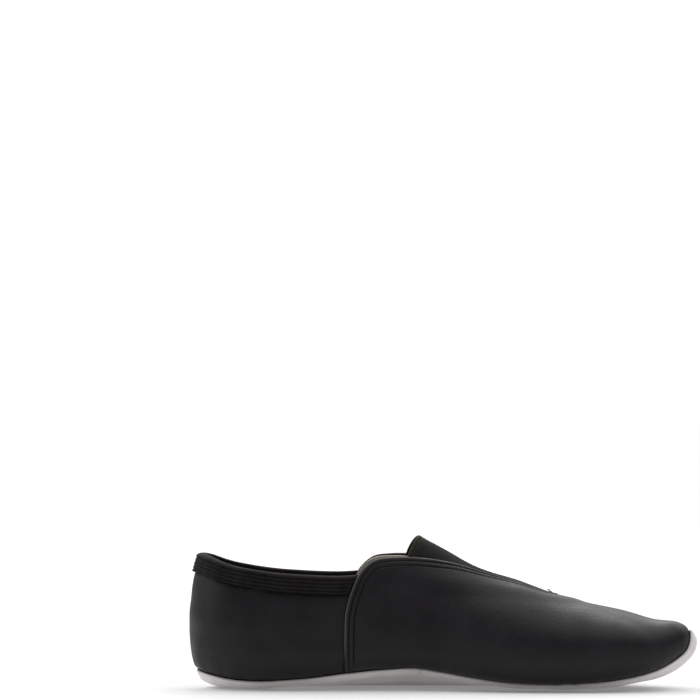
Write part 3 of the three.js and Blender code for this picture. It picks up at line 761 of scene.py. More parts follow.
def insole_foam():
    f = Finish("insole_foam", 0.9, specular=0.25)
    bubbles = f.cells(1600)
    uneven = f.noise(50, detail=3)
    tone = f.blend(f.levels(uneven, 0.3, 0.7), *FOAM_TONES)
    # Painted shade in the bubble pits.
    tone = f.blend(f.levels(bubbles, 0.0, 0.4, 0.4, 0.0), tone, FOAM_PIT_SHADE)
    return f.done(tone, f.bump(bubbles, 0.2, 0.8))


def sewing_thread(name, dark, light):
    f = Finish(name, 0.7, specular=0.15)
    twist = f.noise(2600, detail=2, stretch=(1, 0.4, 1))
    tone = f.blend(f.levels(twist, 0.35, 0.65), dark, light)
    return f.done(tone, f.bump(twist, 0.08, 0.8))


LEATHER = black_leather()
SUEDE = white_suede()
GORE = gore_webbing()
COLLAR = collar_webbing()
TWILL = cotton_twill("undyed_cotton_twill", *TWILL_TONES, pitch=0.9)
SOCK_CLOTH = cotton_twill("brushed_sock_cloth", *SOCK_TONES, pitch=0.6)
FOAM = insole_foam()
THREAD = sewing_thread("black_sewing_thread", *THREAD_TONES)
LOOSE_YARN = sewing_thread("loose_rubber_yarn", *YARN_TONES)


# ---------------------------------------------------------------------------------------------------
# Vamp
# ---------------------------------------------------------------------------------------------------

EDGE_ROLL = 0.55
PUFFED_ROWS = ((VAMP_ROWS[0] / 2, 0.62, 0.24), (sum(VAMP_ROWS) / 2, 0.75, 0.15))
SUNK_ROWS = ((VAMP_ROWS[0], 0.34, 0.36), (VAMP_ROWS[1], 0.34, 0.30))


def stitched_edge(away, run):
    """Relief near a folded and sewn edge: it rolls over at the edge and sinks at each row of stitches."""
    rim = np.clip((EDGE_ROLL - away) / EDGE_ROLL, 0, 1)
    relief = -0.42 * (1 - np.sqrt(1 - rim ** 2))
    for row, wide, high in PUFFED_ROWS:
        relief += high * ridge(away, row, wide)
    pull = 1 + 0.35 * np.cos(2 * math.pi * run / VAMP_PITCH)
    for row, wide, deep in SUNK_ROWS:
        relief -= deep * pull * ridge(away, row, wide)
    return relief


def seam_tuck(height, run, strength=1.0):
    """The upper turns in where it meets the sole, with small puckers from the lasting."""
    puckers = np.sin(2 * math.pi * run / 7.3 + 1.7 * np.sin(run / 11)) * np.exp(-height / 6.5)
    return strength * (0.22 * puckers * ramp(0, 2, height) - 0.45 * ridge(height, 0, 1.5))


# Rows of the margin that the upper turns in under the sole, from its end to the sole seam.
TURNED_ROWS = np.array([1, 0.75, 0.5, 0.25])
TURNED = len(TURNED_ROWS)


def vamp_grid(fine):
    """Columns from the inner side seam round the toe to the outer side seam, rows from the end of the
    turned margin to the V edge."""
    if fine:
        u = graded((0, 0.036, 32), (0.036, 0.5, 82), (0.5, 1, 104))
        v = graded((0, 0.06, 6), (0.06, 0.87, 36), (0.87, 1, 30))
    else:
        u = graded((0, 0.5, 46), (0.5, 1, 52))
        v = steps(0, 1, 34)
    sides = [vamp_place(u[:, None], v[None, :], side) for side in (-1, 1)]
    place, angle = (np.concatenate([a, b[::-1][1:]]) for a, b in zip(*sides))
    share = np.broadcast_to(v, place.shape)
    foot_place = np.repeat(place[:, :1], TURNED, axis=1)
    foot_angle = under_angle(foot_place, TURNED_ROWS)
    place = np.concatenate([foot_place, place], axis=1)
    angle = np.concatenate([foot_angle, angle], axis=1)
    share = np.concatenate([np.zeros(foot_place.shape), share], axis=1)
    return place, angle, share


def row_lengths(points, start):
    """Distance up each column from a row, and along that row."""
    up = np.zeros(points.shape[:2])
    up[:, 1:] = np.cumsum(np.linalg.norm(np.diff(points, axis=1), axis=-1), axis=1)
    up = up - up[:, start:start + 1]
    return np.maximum(up, 0), lengths(points[:, start])[:, None] + np.zeros(up.shape)


# Soft creases across the ball, as [place ahead of the crease line, depth].
CREASES = ((13, 0.05), (29, 0.07), (45, 0.06))
CREASE_LINE = 166
TOE_DIMPLE = (229, -6)
TOE_CORNER = (243, -9)


def vamp_waves(base, away, toe):
    """The leather's slow waves, its creases over the ball, and the dip and corner on top of the toe."""
    x, y, z = base[..., 0], base[..., 1], base[..., 2]
    clear = ramp(3, 16, away)
    waves = 0.20 * ripple(base, 38, 3) * clear * mix(0.5, 1, toe) + 0.03 * ripple(base, 16, 5) * clear
    ahead = x - CREASE_LINE + 0.32 * np.abs(y)
    for place, deep in CREASES:
        waves -= deep * clear * ridge(np.abs(y), 22, 17) * ridge(ahead, place, 4.5)
    on_top = ramp(18, 28, z)
    waves -= 2.0 * on_top * ridge(np.hypot(x - TOE_DIMPLE[0], y - TOE_DIMPLE[1]), 0, 9.5)
    waves -= 0.55 * on_top * ridge(np.hypot(x - TOE_CORNER[0], y - TOE_CORNER[1]), 0, 6)
    return waves


def vamp():
    place, angle, share = vamp_grid(True)
    base = foot_point(place, angle)
    away, run = EDGE.measure(base)
    lift = lap_lift(away, share)
    height, along = row_lengths(base, TURNED)
    above_seam = np.arange(place.shape[1]) >= TURNED
    toe = ramp(150, 205, base[..., 0])
    relief = stitched_edge(away, run) + vamp_waves(base, away, toe)
    relief += seam_tuck(height, along, mix(0.5, 0.75, toe))
    relief = np.where(above_seam, relief, TURNED_IN)
    outer = layer_point(place, angle, UPPER[1] + lift + relief)
    inner = layer_point(place, angle, UPPER[0] + lift + np.clip(relief, -0.4, 0) * 0.6)
    # The bare cut edge is lighter in its own colour. The puffed bands beside the rows get a painted
    # highlight.
    bare = ridge(away, 0, 0.42) * ramp(0.1, 0.3, share)
    puff_highlight = 0.10 * ridge(away, 1.0, 0.7) + 0.025 * ridge(away, 3.2, 0.9)
    # Painted shade in the stitch grooves and along the sole seam.
    grooves = sum(ridge(away, row, 0.38) for row in VAMP_ROWS)
    painted_shade = 0.85 * grooves + 0.5 * ridge(height, 0, 2.2) * above_seam
    marks = {"edge_tint_and_highlight": np.clip(bare + puff_highlight, 0, 1), "painted_shade": np.clip(painted_shade, 0, 1)}
    return finished(sheet_piece("vamp_leather", outer, inner, LEATHER, marks), "vamp")


def twill_lining(name, node, place, angle, wavelength, seed):
    """A sheet of twill, flat on the leather's side and soft on the foot's."""
    soft = np.minimum(0.08 * ripple(foot_point(place, angle), wavelength, seed), 0.1)
    outer = layer_point(place, angle, LINING[1])
    inner = layer_point(place, angle, LINING[0] + soft)
    return finished(sheet_piece(name, outer, inner, TWILL), node)


def vamp_lining():
    place, angle, _ = vamp_grid(False)
    return twill_lining("vamp_twill_lining", "vamp_lining", place, angle, 12, 8)


# ---------------------------------------------------------------------------------------------------
# Heel quarter
# ---------------------------------------------------------------------------------------------------

def heel_grid(layer, front_shift, top_drop, columns, rows):
    """Columns from the inner side seam round the back to the outer side seam, rows from sole to top."""
    def height_at(place, v):
        foot = layer_point(place, feather_angle(place), layer[1])[..., 2]
        return mix(foot, collar_height(place) - top_drop, v)

    def front_at(height):
        return place_at(smooth(SIDE_SEAM, height) + front_shift(height))

    u = steps(-1, 1, columns)[:, None]
    v = rows[None, :]
    foot_front = front_at(np.zeros(1))[0]
    foot_place = u * foot_front + np.zeros(v.shape)
    place = u * front_at(height_at(foot_place, v))
    angle = angle_at(place, height_at(place, v), layer[1])
    angle[:, 0] = feather_angle(place[:, 0])
    turned = u * foot_front + np.zeros(TURNED)
    turned_angle = under_angle(turned, TURNED_ROWS)
    return np.concatenate([turned, place], axis=1), np.concatenate([turned_angle, angle], axis=1)


def quarter_front(height):
    """The quarter's front runs under the vamp, and comes back to meet it edge to edge near the sole."""
    return mix(-QUARTER_BUTT, LAP_WIDTH, ramp(*QUARTER_LAP, height))


def quarter_gathers(base, along, below):
    """Small gathers that the collar elastic pulls into the leather, strongest round the back."""
    phase = 2 * math.pi * (along + 0.7 * below) / 5.6 + 1.6 * np.sin(along / 9) + 0.9 * np.sin(along / 23)
    fade = np.exp(-np.maximum(below, 0) / 5.5)
    patchy = 0.5 + 0.5 * np.clip(ripple(base * np.array([1, 1, 0.4]), 22, 13), -1, 1)
    gathers = 0.30 * np.sin(phase) * fade * mix(0.25, 1, ramp(52, 18, base[..., 0])) * patchy
    return gathers * ramp(78, 70, base[..., 0]), np.clip(np.sin(phase), 0, 1) * fade


def quarter_folds(along, below):
    """Two slanting folds beside the back of the heel."""
    behind = along - along.max() / 2
    inner = 0.34 * ridge(behind, -13 - 0.25 * below, 3.0)
    outer = 0.28 * ridge(behind, 15 + 0.2 * below, 3.4)
    return -(inner + outer) * ridge(below, 12, 12)


def heel_quarter():
    rows = graded((0, 0.06, 5), (0.06, 0.7, 38), (0.7, 1, 26))
    place, angle = heel_grid(UPPER, quarter_front, FOLD_ROOF + CLEARANCE, 250, rows)
    base = foot_point(place, angle)
    x, z = base[..., 0], base[..., 2]
    height, along = row_lengths(base, TURNED)
    below = collar_height(place) - COLLAR_DEPTH - z
    gathers, crests = quarter_gathers(base, along, below)
    belly = (0.28 * ripple(base, 30, 11) + 0.10 * ripple(base, 13, 12)) * ramp(74, 62, x)
    relief = quarter_folds(along, below) - 0.35 * ridge(below, -0.2, 1.1) + belly + gathers
    relief = relief * ramp(0, 3, height) + seam_tuck(height, along, 0.8)
    past_seam = ramp(-0.6, 0.4, x - smooth(SIDE_SEAM, z)) * ramp(*QUARTER_LAP, z)
    relief = mix(relief, -0.45, np.maximum(past_seam, ramp(-0.2, -1.0, below)))
    relief[:, :TURNED] = TURNED_IN
    outer = layer_point(place, angle, UPPER[1] + relief)
    inner = layer_point(place, angle, UPPER[0] + np.clip(relief, -0.35, 0.0) * 0.8)
    # Painted shade along the sole seam and just under the binding, and a faint painted highlight on the
    # gathers' crests.
    painted_shade = 0.55 * ridge(height, 0, 2.2) + 0.6 * ridge(below, 0.3, 1.0)
    marks = {"edge_tint_and_highlight": 0.02 * crests, "painted_shade": np.clip(painted_shade, 0, 0.9)}
    piece = sheet_piece("heel_quarter_leather", outer, inner, LEATHER, marks)
    return finished(piece, "heel_quarter")


def heel_lining():
    def short(height):
        return np.full(np.shape(height), -CLEARANCE)

    place, angle = heel_grid(LINING, short, FOLD_ROOF + CLEARANCE, 130, steps(0, 1, 34))
    return twill_lining("heel_twill_lining", "heel_lining", place, angle, 11, 21)


# ---------------------------------------------------------------------------------------------------
# Elastic: the gore and the collar binding
# ---------------------------------------------------------------------------------------------------

def inside_v_edge(base, half):
    """How far inside the V edge a point of the gore lies, below 0 where the vamp covers it."""
    away, _ = EDGE.measure(base)
    x = base[..., 0]
    covered = np.abs(base[..., 1]) > smooth(V_EDGE, np.minimum(x, THROAT)) * half
    return np.where(covered | (x > THROAT), -away, away)


def instep_gore():
    across = steps(-1, 1, 110)[:, None]
    start = mix(GORE_TOP_CENTRE, GORE_TOP_SIDE, np.abs(across) ** 1.5)
    x = mix(start, THROAT + GORE_UNDER_THROAT, steps(0, 1, 290)[None, :])
    half = half_width(x, across)
    place, angle = surface_above(x, across * (smooth(V_EDGE, x) * half + GORE_MARGIN))
    base = foot_point(place, angle)
    down, _ = row_lengths(base, 0)
    rib = 0.5 + 0.5 * np.cos(2 * math.pi * down / GORE_RIB)
    relief = 0.17 * (rib ** 0.7 - 0.75) + 0.22 * ridge(down, 0.6, 0.8)
    relief += 0.15 * ripple(base, 26, 31) * ramp(2, 10, down)
    relief = mix(-0.12, relief, ramp(0.0, 1.8, inside_v_edge(base, half)))
    relief -= 0.25 * ridge(down, 0, 0.25)
    outer = layer_point(place, angle, UPPER[1] + relief)
    inner = layer_point(place, angle, UPPER[0] + np.clip(relief, -0.25, 0.25) * 0.5)
    # The olive top edge is the elastic's own tint. The rib mark carries painted shade between the ribs.
    edge_tint_and_highlight = 0.9 * ridge(down, 0, 0.8) + 0.20 * ridge(down, 2.2, 1.4)
    marks = {"edge_tint_and_highlight": np.clip(edge_tint_and_highlight, 0, 1), "rib": 1 - rib}
    piece = sheet_piece("instep_gore_elastic", outer, inner, GORE, marks, downward=True)
    return finished(piece, "instep_gore")


def collar_share(count):
    """Shares of the way from the heel's back to the binding's ends, closer together at the ends."""
    half = graded((0, 0.9, count // 2 - 40), (0.9, 1, 40))
    return np.concatenate([-half[::-1], half[1:]])


def collar_run(share, depth, lap=COLLAR_LAP):
    """Places of the binding at a share of its run, and how far they are past the vamp's edge."""
    height = COLLAR_TOP[-2][1] - depth
    edge = smooth(SIDE_SEAM, height)
    place = share * place_at(edge + lap)
    past = HEEL_CENTRE + (np.abs(place) - 1) * (BALL_CENTRE - HEEL_CENTRE) - edge
    return place, past


def collar_points(place, distance, depth):
    """Points of the binding at a depth below the collar's top line."""
    angle = angle_at(place, collar_height(place) - depth, distance)
    return layer_point(place, angle, distance)


def binding_relief(depth, run):
    """The binding sinks at its rows of stitches, and swells a little over its top one."""
    pull = 1 + 0.3 * np.cos(2 * math.pi * run / COLLAR_PITCH)
    sunk = sum(0.34 * pull * ridge(depth, row, 0.36) for row in COLLAR_ROWS)
    return 0.16 * ridge(depth, 1.0, 0.8) - 0.12 - sunk


def binding_section():
    """The folded binding in section, as distances and depths: the outside, the fold over the top, the
    inside, and back round the edges of the leather and lining between."""
    near, far = BINDING_OUTER
    low, high = BINDING_INNER
    crown, half = (far + low) / 2, (far - low) / 2
    turn = steps(0, math.pi, 14)[1:-1]
    outside = [(far, d) for d in steps(COLLAR_DEPTH, FOLD_RADIUS, 46)]
    fold = [(crown + half * math.cos(a), FOLD_RADIUS * (1 - math.sin(a))) for a in turn]
    inside = [(low, d) for d in steps(FOLD_RADIUS, COLLAR_DEPTH, 10)]
    inside += [(high, d) for d in steps(COLLAR_DEPTH, FOLD_ROOF, 6)]
    behind = [(near, d) for d in steps(FOLD_ROOF, COLLAR_DEPTH, 6)]
    kinds = [0] * len(outside) + [1] * len(fold) + [2] * (len(inside) + len(behind))
    return np.array(outside + fold + inside + behind), np.array(kinds)


def collar_elastic():
    section, kind = binding_section()
    share = collar_share(330)[:, None]
    distance = section[:, 0] + np.zeros((len(share), 1))
    depth = section[:, 1] + np.zeros((len(share), 1))
    place, past = collar_run(share, depth)
    front = collar_points(place[:, 0], BINDING_OUTER[1], COLLAR_ROWS[1])
    run = lengths(front)[:, None]
    wave = 0.16 * np.sin(2 * math.pi * run / 5.9 + 1.3 * np.sin(run / 8)) + 0.10 * np.sin(run / 3.1)
    distance += np.where(kind == 0, binding_relief(depth, run) + wave * ramp(1, 6, depth), 0)
    distance += np.where(kind == 1, wave * 0.4, 0)
    pressed = np.interp(distance, [*BINDING_INNER, *BINDING_OUTER], LAPPED_BINDING)
    points = collar_points(place, mix(distance, pressed, ramp(*LAP_PRESS, past)), depth)
    columns, sides = points.shape[:2]
    grid = np.arange(columns * sides).reshape(columns, sides)
    ring = np.hstack([grid, grid[:, :1]])
    faces = strip(ring[:-1, :-1], ring[1:, :-1], ring[1:, 1:], ring[:-1, 1:])
    faces += [grid[0].tolist(), grid[-1].tolist()[::-1]]
    uv = np.stack(np.broadcast_arrays(run, lengths(section)), -1).reshape(-1, 2)
    # Painted shade in the sunk stitch rows and along the binding's lower edge.
    sunk = sum(ridge(depth, row, 0.42) for row in COLLAR_ROWS) * (kind == 0)
    marks = {"painted_shade": np.clip(sunk + ridge(depth, COLLAR_DEPTH, 0.5), 0, 1).ravel()}
    piece = new_piece("collar_elastic_binding", points.reshape(-1, 3), faces, COLLAR, uv, marks, True)
    return finished(piece, "collar_elastic")


# ---------------------------------------------------------------------------------------------------
# Sole and insole
# ---------------------------------------------------------------------------------------------------

def outline_places(side_count, toe_count, heel_count):
    """Places all round, the same on both sides so that they meet along the spine."""
    half = graded((0, 1, heel_count), (1, 2, side_count), (2, 3, toe_count))
    return np.concatenate([half, 6 - half[1:-1][::-1]])


def under_grid(rows, side_count, toe_count, heel_count):
    place = outline_places(side_count, toe_count, heel_count)[:, None] + np.zeros(len(rows))
    return place, under_angle(place, rows[None, :] + np.zeros(place.shape))


ARCH_FOLD = (118, -26)
ARCH_FOLD_SLANT = 0.5


def sole_relief(base, along, inboard, fold, arch):
    """Pleats of the turned edge, the fold across the arch, and slow unevenness."""
    pleat = np.sin(2 * math.pi * along / 5.2 + 1.9 * np.sin(along / 13)) * np.exp(-inboard / 4)
    bends = np.maximum(ramp(196, 214, base[..., 0]), ramp(34, 16, base[..., 0]))
    relief = 0.20 * pleat * mix(0.35, 1, bends) * ramp(0.2, 2, inboard)
    relief -= 0.7 * arch * ridge(fold, 0, 1.2) * ramp(1, 4, inboard)
    relief += 0.35 * arch * ridge(fold, -4, 3.2)
    return relief + 0.14 * ripple(base, 17, 41) * ramp(2, 8, inboard)


def arch_sag(base, inboard):
    """How far the sole's outer half lies down on the floor under the arch."""
    across = ramp(4, 17, base[..., 1]) * ramp(1.5, 5, inboard)
    return across * ramp(36, 52, base[..., 0]) * ramp(170, 152, base[..., 0])


def outsole():
    place, angle = under_grid(graded((0, 0.3, 12), (0.3, 1, 12), (1, 2, 20)), 96, 96, 44)
    base = foot_point(place, angle)
    inboard, along = row_lengths(base, 0)
    lip = mix(OUTSOLE_LIP, OUTSOLE[1], ramp(0.6, 4.5, inboard))
    round_edge = np.sqrt(np.clip(1 - (1 - np.clip(inboard / 0.9, 0, 1)) ** 2, 0, 1))
    fold = base[..., 0] - ARCH_FOLD[0] + ARCH_FOLD_SLANT * (base[..., 1] - ARCH_FOLD[1])
    arch = ridge(base[..., 1], -22, 16)
    relief = sole_relief(base, along, inboard, fold, arch)
    thick = (lip - OUTSOLE[0]) * np.maximum(round_edge, 0.02) + relief * round_edge
    outer = layer_point(place, angle, OUTSOLE[0] + thick)
    sag = arch_sag(base, inboard)
    outer[..., 2] = np.maximum(mix(outer[..., 2], 0, sag), 0)
    inner = layer_point(place, angle, mix(UPPER[1] + 0.02, OUTSOLE[0], ramp(0.5, 3, inboard)))
    inner[..., 2] = np.maximum(inner[..., 2], outer[..., 2] + 0.02)
    # Painted shade: darker along the sole seam, in the fold across the arch, where the sole rests on the
    # floor, on the outer half that sags under the arch, and on the arch's inner underside.
    painted_shade = 0.75 * ridge(inboard, 0, 0.35) + 0.5 * arch * ridge(fold, 0, 0.9)
    painted_shade += (outer[..., 2] < 0.25) * (0.16 + 0.08 * ripple(base, 21, 43))
    painted_shade += 0.75 * sag * ramp(0, 12, base[..., 1]) + 0.2 * arch * ramp(2, 14, inboard)
    marks = {"painted_shade": np.clip(painted_shade, 0, 1)}
    piece = sheet_piece("turned_suede_sole", outer, inner, SUEDE, marks, round_sheet=True, downward=True)
    return finished(piece, "outsole")


INSOLE_EDGE = 1.06


def insole_sock():
    rows = graded((INSOLE_EDGE, 1.16, 3), (1.16, 2, 16))
    place, angle = under_grid(rows, 70, 56, 30)
    worn = -0.072 * np.clip(ripple(foot_point(place, angle), 24, 51), -1, 1)
    outer = layer_point(place, angle, LINING[1])
    inner = layer_point(place, angle, LINING[0] + worn * ramp(INSOLE_EDGE, 1.2, rows))
    piece = sheet_piece("insole_sock_cloth", outer, inner, SOCK_CLOTH, round_sheet=True, downward=True)
    return finished(piece, "insole_sock")


def insole_pad():
    rows = graded((INSOLE_EDGE, 1.14, 4), (1.14, 2, 14))
    place, angle = under_grid(rows, 70, 56, 30)
    edge = np.sqrt(np.clip(1 - (1 - np.clip((rows - INSOLE_EDGE) / 0.05, 0, 1)) ** 2, 0, 1))
    middle, half = (PAD[0] + PAD[1]) / 2, (PAD[1] - PAD[0]) / 2
    thick = half * np.maximum(edge, 0.3)
    outer = layer_point(place, angle, middle + thick)
    inner = layer_point(place, angle, middle - thick)
    piece = sheet_piece("insole_foam_pad", outer, inner, FOAM, round_sheet=True, downward=True)
    finished(piece, "insole_pad")
    return piece


# ---------------------------------------------------------------------------------------------------
# Threads: one tree lays a stitch at every pitch along a line
# ---------------------------------------------------------------------------------------------------

def stitch_tree():
    tree = bpy.data.node_groups.new("row_of_stitches", "GeometryNodeTree")
    face = tree.interface
    face.new_socket("Geometry", in_out="INPUT", socket_type="NodeSocketGeometry")
    for name, value in (("Pitch", 0.002), ("Stitch Length", 0.002), ("Thread Radius", 0.0002)):
        face.new_socket(name, in_out="INPUT", socket_type="NodeSocketFloat").default_value = value
    face.new_socket("Thread", in_out="INPUT", socket_type="NodeSocketMaterial")
    face.new_socket("Geometry", in_out="OUTPUT", socket_type="NodeSocketGeometry")
    new, link = tree.nodes.new, tree.links.new
    source, result = new("NodeGroupInput"), new("NodeGroupOutput")
    line = new("GeometryNodeMeshToCurve")
    spaced = new("GeometryNodeResampleCurve")
    spaced.mode = "LENGTH"
    stitch = new("GeometryNodeMeshUVSphere")
    stitch.inputs["Segments"].default_value = 8
    stitch.inputs["Rings"].default_value = 6
    stitch.inputs["Radius"].default_value = 1
    half = new("ShaderNodeMath")
    half.operation = "MULTIPLY"
    half.inputs[1].default_value = 0.5
    size = new("ShaderNodeCombineXYZ")
    tangent = new("GeometryNodeInputTangent")
    turn = new("FunctionNodeAlignRotationToVector")
    turn.axis = "X"
    laid = new("GeometryNodeInstanceOnPoints")
    real = new("GeometryNodeRealizeInstances")
    finish = new("GeometryNodeSetMaterial")
    link(source.outputs["Geometry"], line.inputs["Mesh"])
    link(line.outputs["Curve"], spaced.inputs["Curve"])
    link(source.outputs["Pitch"], spaced.inputs["Length"])
    link(source.outputs["Stitch Length"], half.inputs[0])
    link(half.outputs[0], size.inputs["X"])
    link(source.outputs["Thread Radius"], size.inputs["Y"])
    link(source.outputs["Thread Radius"], size.inputs["Z"])
    link(tangent.outputs["Tangent"], turn.inputs["Vector"])
    link(spaced.outputs["Curve"], laid.inputs["Points"])
    link(stitch.outputs["Mesh"], laid.inputs["Instance"])
    link(turn.outputs["Rotation"], laid.inputs["Rotation"])
    link(size.outputs["Vector"], laid.inputs["Scale"])
    link(laid.outputs["Instances"], real.inputs["Geometry"])
    link(real.outputs["Geometry"], finish.inputs["Geometry"])
    link(source.outputs["Thread"], finish.inputs["Material"])
    link(finish.outputs["Geometry"], result.inputs["Geometry"])
    return tree


STITCHES = stitch_tree()


def row_of_stitches(name, points, pitch, length, radius, material):
    """A line of stitches through points in millimetres, as a plain mesh."""
    path = bpy.data.meshes.new(name + "_path")
    path.from_pydata(to_frame(points).tolist(), [(i, i + 1) for i in range(len(points) - 1)], [])
    guide = placed(name + "_path", path)
    laid = guide.modifiers.new("stitches", "NODES")
    laid.node_group = STITCHES
    values = {"Pitch": pitch * MM, "Stitch Length": length * MM, "Thread Radius": radius * MM,
              "Thread": material}
    for item in STITCHES.interface.items_tree:
        if item.in_out == "INPUT" and item.name in values:
            laid[item.identifier] = values[item.name]
    guide.update_tag()
    bpy.context.view_layer.update()
    seen = guide.evaluated_get(bpy.context.evaluated_depsgraph_get())
    mesh = bpy.data.meshes.new_from_object(seen)
    mesh.name = name
    guide.modifiers.remove(laid)
    bpy.data.objects.remove(guide)
    mesh.polygons.foreach_set("use_smooth", [True] * len(mesh.polygons))
    return placed(name, mesh)


def vamp_stitches():
    for i, inset in enumerate(VAMP_ROWS):
        place, angle = EDGE.inset(inset, 0.5)
        base = foot_point(place, angle)
        away, run = EDGE.measure(base)
        share = ramp(8, 20, base[:, 2]) + ramp(100, 120, base[:, 0])
        lift = lap_lift(away, np.clip(share, 0, 1) * LAP_FOOT)
        sunk = stitched_edge(away, np.full(run.shape, VAMP_PITCH / 4))
        points = layer_point(place, angle, UPPER[1] + lift + sunk + THREAD_RADIUS * 0.55)
        piece = row_of_stitches(f"vamp_edge_thread_{i + 1}", points, VAMP_PITCH, VAMP_PITCH * STITCH_SHARE,
                                THREAD_RADIUS, THREAD)
        finished(piece, f"vamp_edge_stitch_{i + 1}")


def collar_stitches():
    for i, depth in enumerate(COLLAR_ROWS):
        share = collar_share(420)
        flat = np.full(share.shape, depth)
        place, _ = collar_run(share, flat, lap=-1.2)
        run = np.full(place.shape, COLLAR_PITCH / 4)
        outside = BINDING_OUTER[1] + binding_relief(flat, run) + THREAD_RADIUS * 0.7
        points = collar_points(place, outside, flat)
        piece = row_of_stitches(f"collar_thread_{i + 1}", points, COLLAR_PITCH, COLLAR_PITCH * STITCH_SHARE,
                                THREAD_RADIUS, THREAD)
        finished(piece, f"collar_stitch_{i + 1}")


def throat_bartack():
    """A dense zigzag over the throat."""
    t = steps(0, 1, TACK_TURNS * 6)
    swing = TACK_SWING * np.sin(t * TACK_TURNS * math.pi)
    place, angle = surface_above(THROAT + 0.35 + swing, mix(-0.5, 0.5, t) * TACK_LENGTH)
    points = layer_point(place, angle, UPPER[1] + LAP_LIFT + 0.42 - 0.3 * np.abs(swing))
    piece = row_of_stitches("throat_tack_thread", points, 0.2, 0.5, 0.17, THREAD)
    finished(piece, "throat_bartack")


def throat_loose_ends():
    """Short ends of rubber yarn that stand out of the tack, each with its own reach, bend and rise."""
    rng = np.random.default_rng(7)
    yarns = []
    for i in range(LOOSE_ENDS):
        y = mix(-1.3, 1.2, i / (LOOSE_ENDS - 1)) + rng.uniform(-0.2, 0.2)
        reach = rng.uniform(1.4, 2.8)
        bend = rng.uniform(-1.1, 1.1)
        s = steps(0, 1, 16)
        place, angle = surface_above(THROAT + 0.4 - reach * s * 0.8, y + bend * s ** 2)
        rise = UPPER[1] + LAP_LIFT + 0.25 + 0.9 * np.sin(s * 2.2) * rng.uniform(0.4, 1.0)
        points = layer_point(place, angle, rise)
        yarns.append(row_of_stitches(f"loose_end_{i + 1}", points, 0.16, 0.34, 0.1, LOOSE_YARN))
    bpy.ops.object.select_all(action="DESELECT")
    for yarn in yarns:
        yarn.select_set(True)
    tuft = yarns[0]
    bpy.context.view_layer.objects.active = tuft
    bpy.ops.object.join()
    tuft.name = "throat_loose_ends"
    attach(tuft, BODY)


# ---------------------------------------------------------------------------------------------------
# Stage, light and camera
# ---------------------------------------------------------------------------------------------------

FLOOR_REACH = 9
FLOOR_HEIGHT = -2e-4


def studio():
    """A wide floor of white paper, a hair below the sole."""
    mesh = bpy.data.meshes.new("floor")
    far = FLOOR_REACH
    ends = [(-far, -far), (far, -far), (far, far), (-far, far)]
    mesh.from_pydata([(x, y, FLOOR_HEIGHT) for x, y in ends], [], [(0, 1, 2, 3)])
    floor = placed("floor", mesh)
    paper = bpy.data.materials.new("white_paper")
    paper.use_nodes = True
    shader = paper.node_tree.nodes["Principled BSDF"]
    shader.inputs["Base Color"].default_value = (0.80, 0.80, 0.80, 1)
    shader.inputs["Emission Color"].default_value = (1, 1, 1, 1)
    shader.inputs["Emission Strength"].default_value = 0.12
    shader.inputs["Roughness"].default_value = 0.9
    shader.inputs["Specular IOR Level"].default_value = 0.1
    mesh.materials.append(paper)


BRIGHT_WAY = (0, 0.36, 0.933)


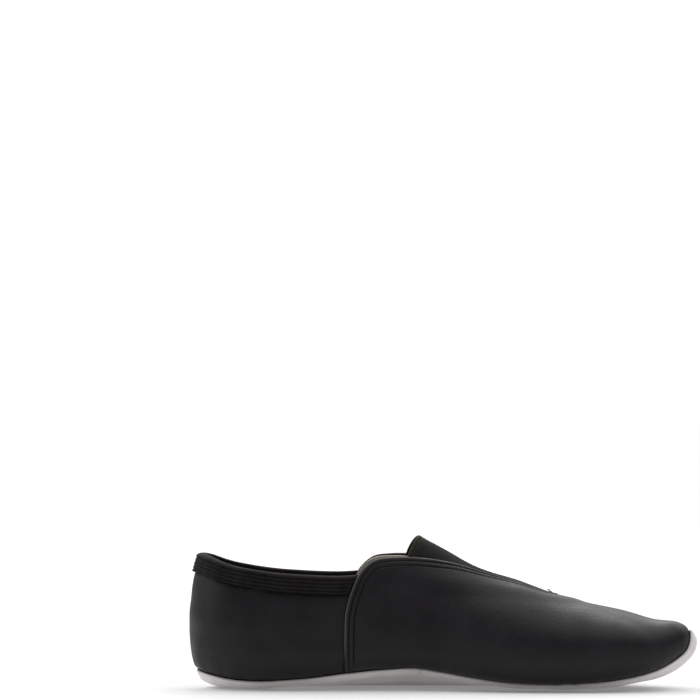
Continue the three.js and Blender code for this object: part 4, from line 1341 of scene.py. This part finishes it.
def sky():
    """A white room: bright overhead and behind, dim at the slipper's height, and white to the camera."""
    world = bpy.data.worlds.new("studio")
    bpy.context.scene.world = world
    world.use_nodes = True
    tree = world.node_tree
    tree.nodes.clear()
    new, link = tree.nodes.new, tree.links.new
    place = new("ShaderNodeTexCoord")
    toward = new("ShaderNodeVectorMath")
    toward.operation = "DOT_PRODUCT"
    toward.inputs[1].default_value = BRIGHT_WAY
    level = new("ShaderNodeMapRange")
    level.interpolation_type = "SMOOTHSTEP"
    for key, value in (("From Min", 0.30), ("From Max", 0.9), ("To Min", 0.06), ("To Max", 1.88)):
        level.inputs[key].default_value = value
    light, seen = new("ShaderNodeBackground"), new("ShaderNodeBackground")
    seen.inputs["Color"].default_value = (1, 1, 1, 1)
    seen.inputs["Strength"].default_value = 1.05
    light.inputs["Color"].default_value = (1, 0.99, 1, 1)
    way = new("ShaderNodeLightPath")
    choose = new("ShaderNodeMixShader")
    out = new("ShaderNodeOutputWorld")
    link(place.outputs["Generated"], toward.inputs[0])
    link(toward.outputs["Value"], level.inputs["Value"])
    link(level.outputs["Result"], light.inputs["Strength"])
    link(way.outputs["Is Camera Ray"], choose.inputs["Fac"])
    link(light.outputs["Background"], choose.inputs[1])
    link(seen.outputs["Background"], choose.inputs[2])
    link(choose.outputs["Shader"], out.inputs["Surface"])


def softbox(name, spot, size, power, aim=(0, 0, 0.03)):
    """A rectangular light turned towards the slipper."""
    light = bpy.data.lights.new(name, "AREA")
    light.shape = "RECTANGLE"
    light.size, light.size_y = size
    light.energy = power
    lamp = placed(name, light)
    lamp.location = spot
    toward = [a - b for a, b in zip(aim, spot)]
    flat = math.hypot(toward[0], toward[1])
    lamp.rotation_euler = (math.atan2(flat, -toward[2]), 0, math.atan2(toward[1], toward[0]) - math.pi / 2)


EYE = (HEEL_X * MM + 0.0793, -2.5, 0.1661)
VIEW_WIDTH = 0.345


def camera():
    """A long lens at the height of a hand above the slipper, level, from its inner side."""
    view = bpy.data.cameras.new("camera")
    view.sensor_width = 36
    view.lens = view.sensor_width * -EYE[1] / VIEW_WIDTH
    eye = placed("camera", view)
    eye.location = EYE
    eye.rotation_euler = (math.pi / 2, 0, 0)
    bpy.context.scene.camera = eye


def corners(box):
    return [list(map(float, corner)) for corner in box]


camera()
studio()
sky()
softbox("overhead", (-0.05, 1.40, 0.98), (0.8, 0.8), 4)
softbox("heel_window", (-1.7, 0.05, 0.8), (0.6, 0.8), 5)
outsole()
insole_pad()
insole_sock()
vamp_lining()
heel_lining()
vamp()
heel_quarter()
instep_gore()
collar_elastic()
vamp_stitches()
collar_stitches()
throat_bartack()
throat_loose_ends()

bpy.context.scene.view_settings.view_transform = "Standard"
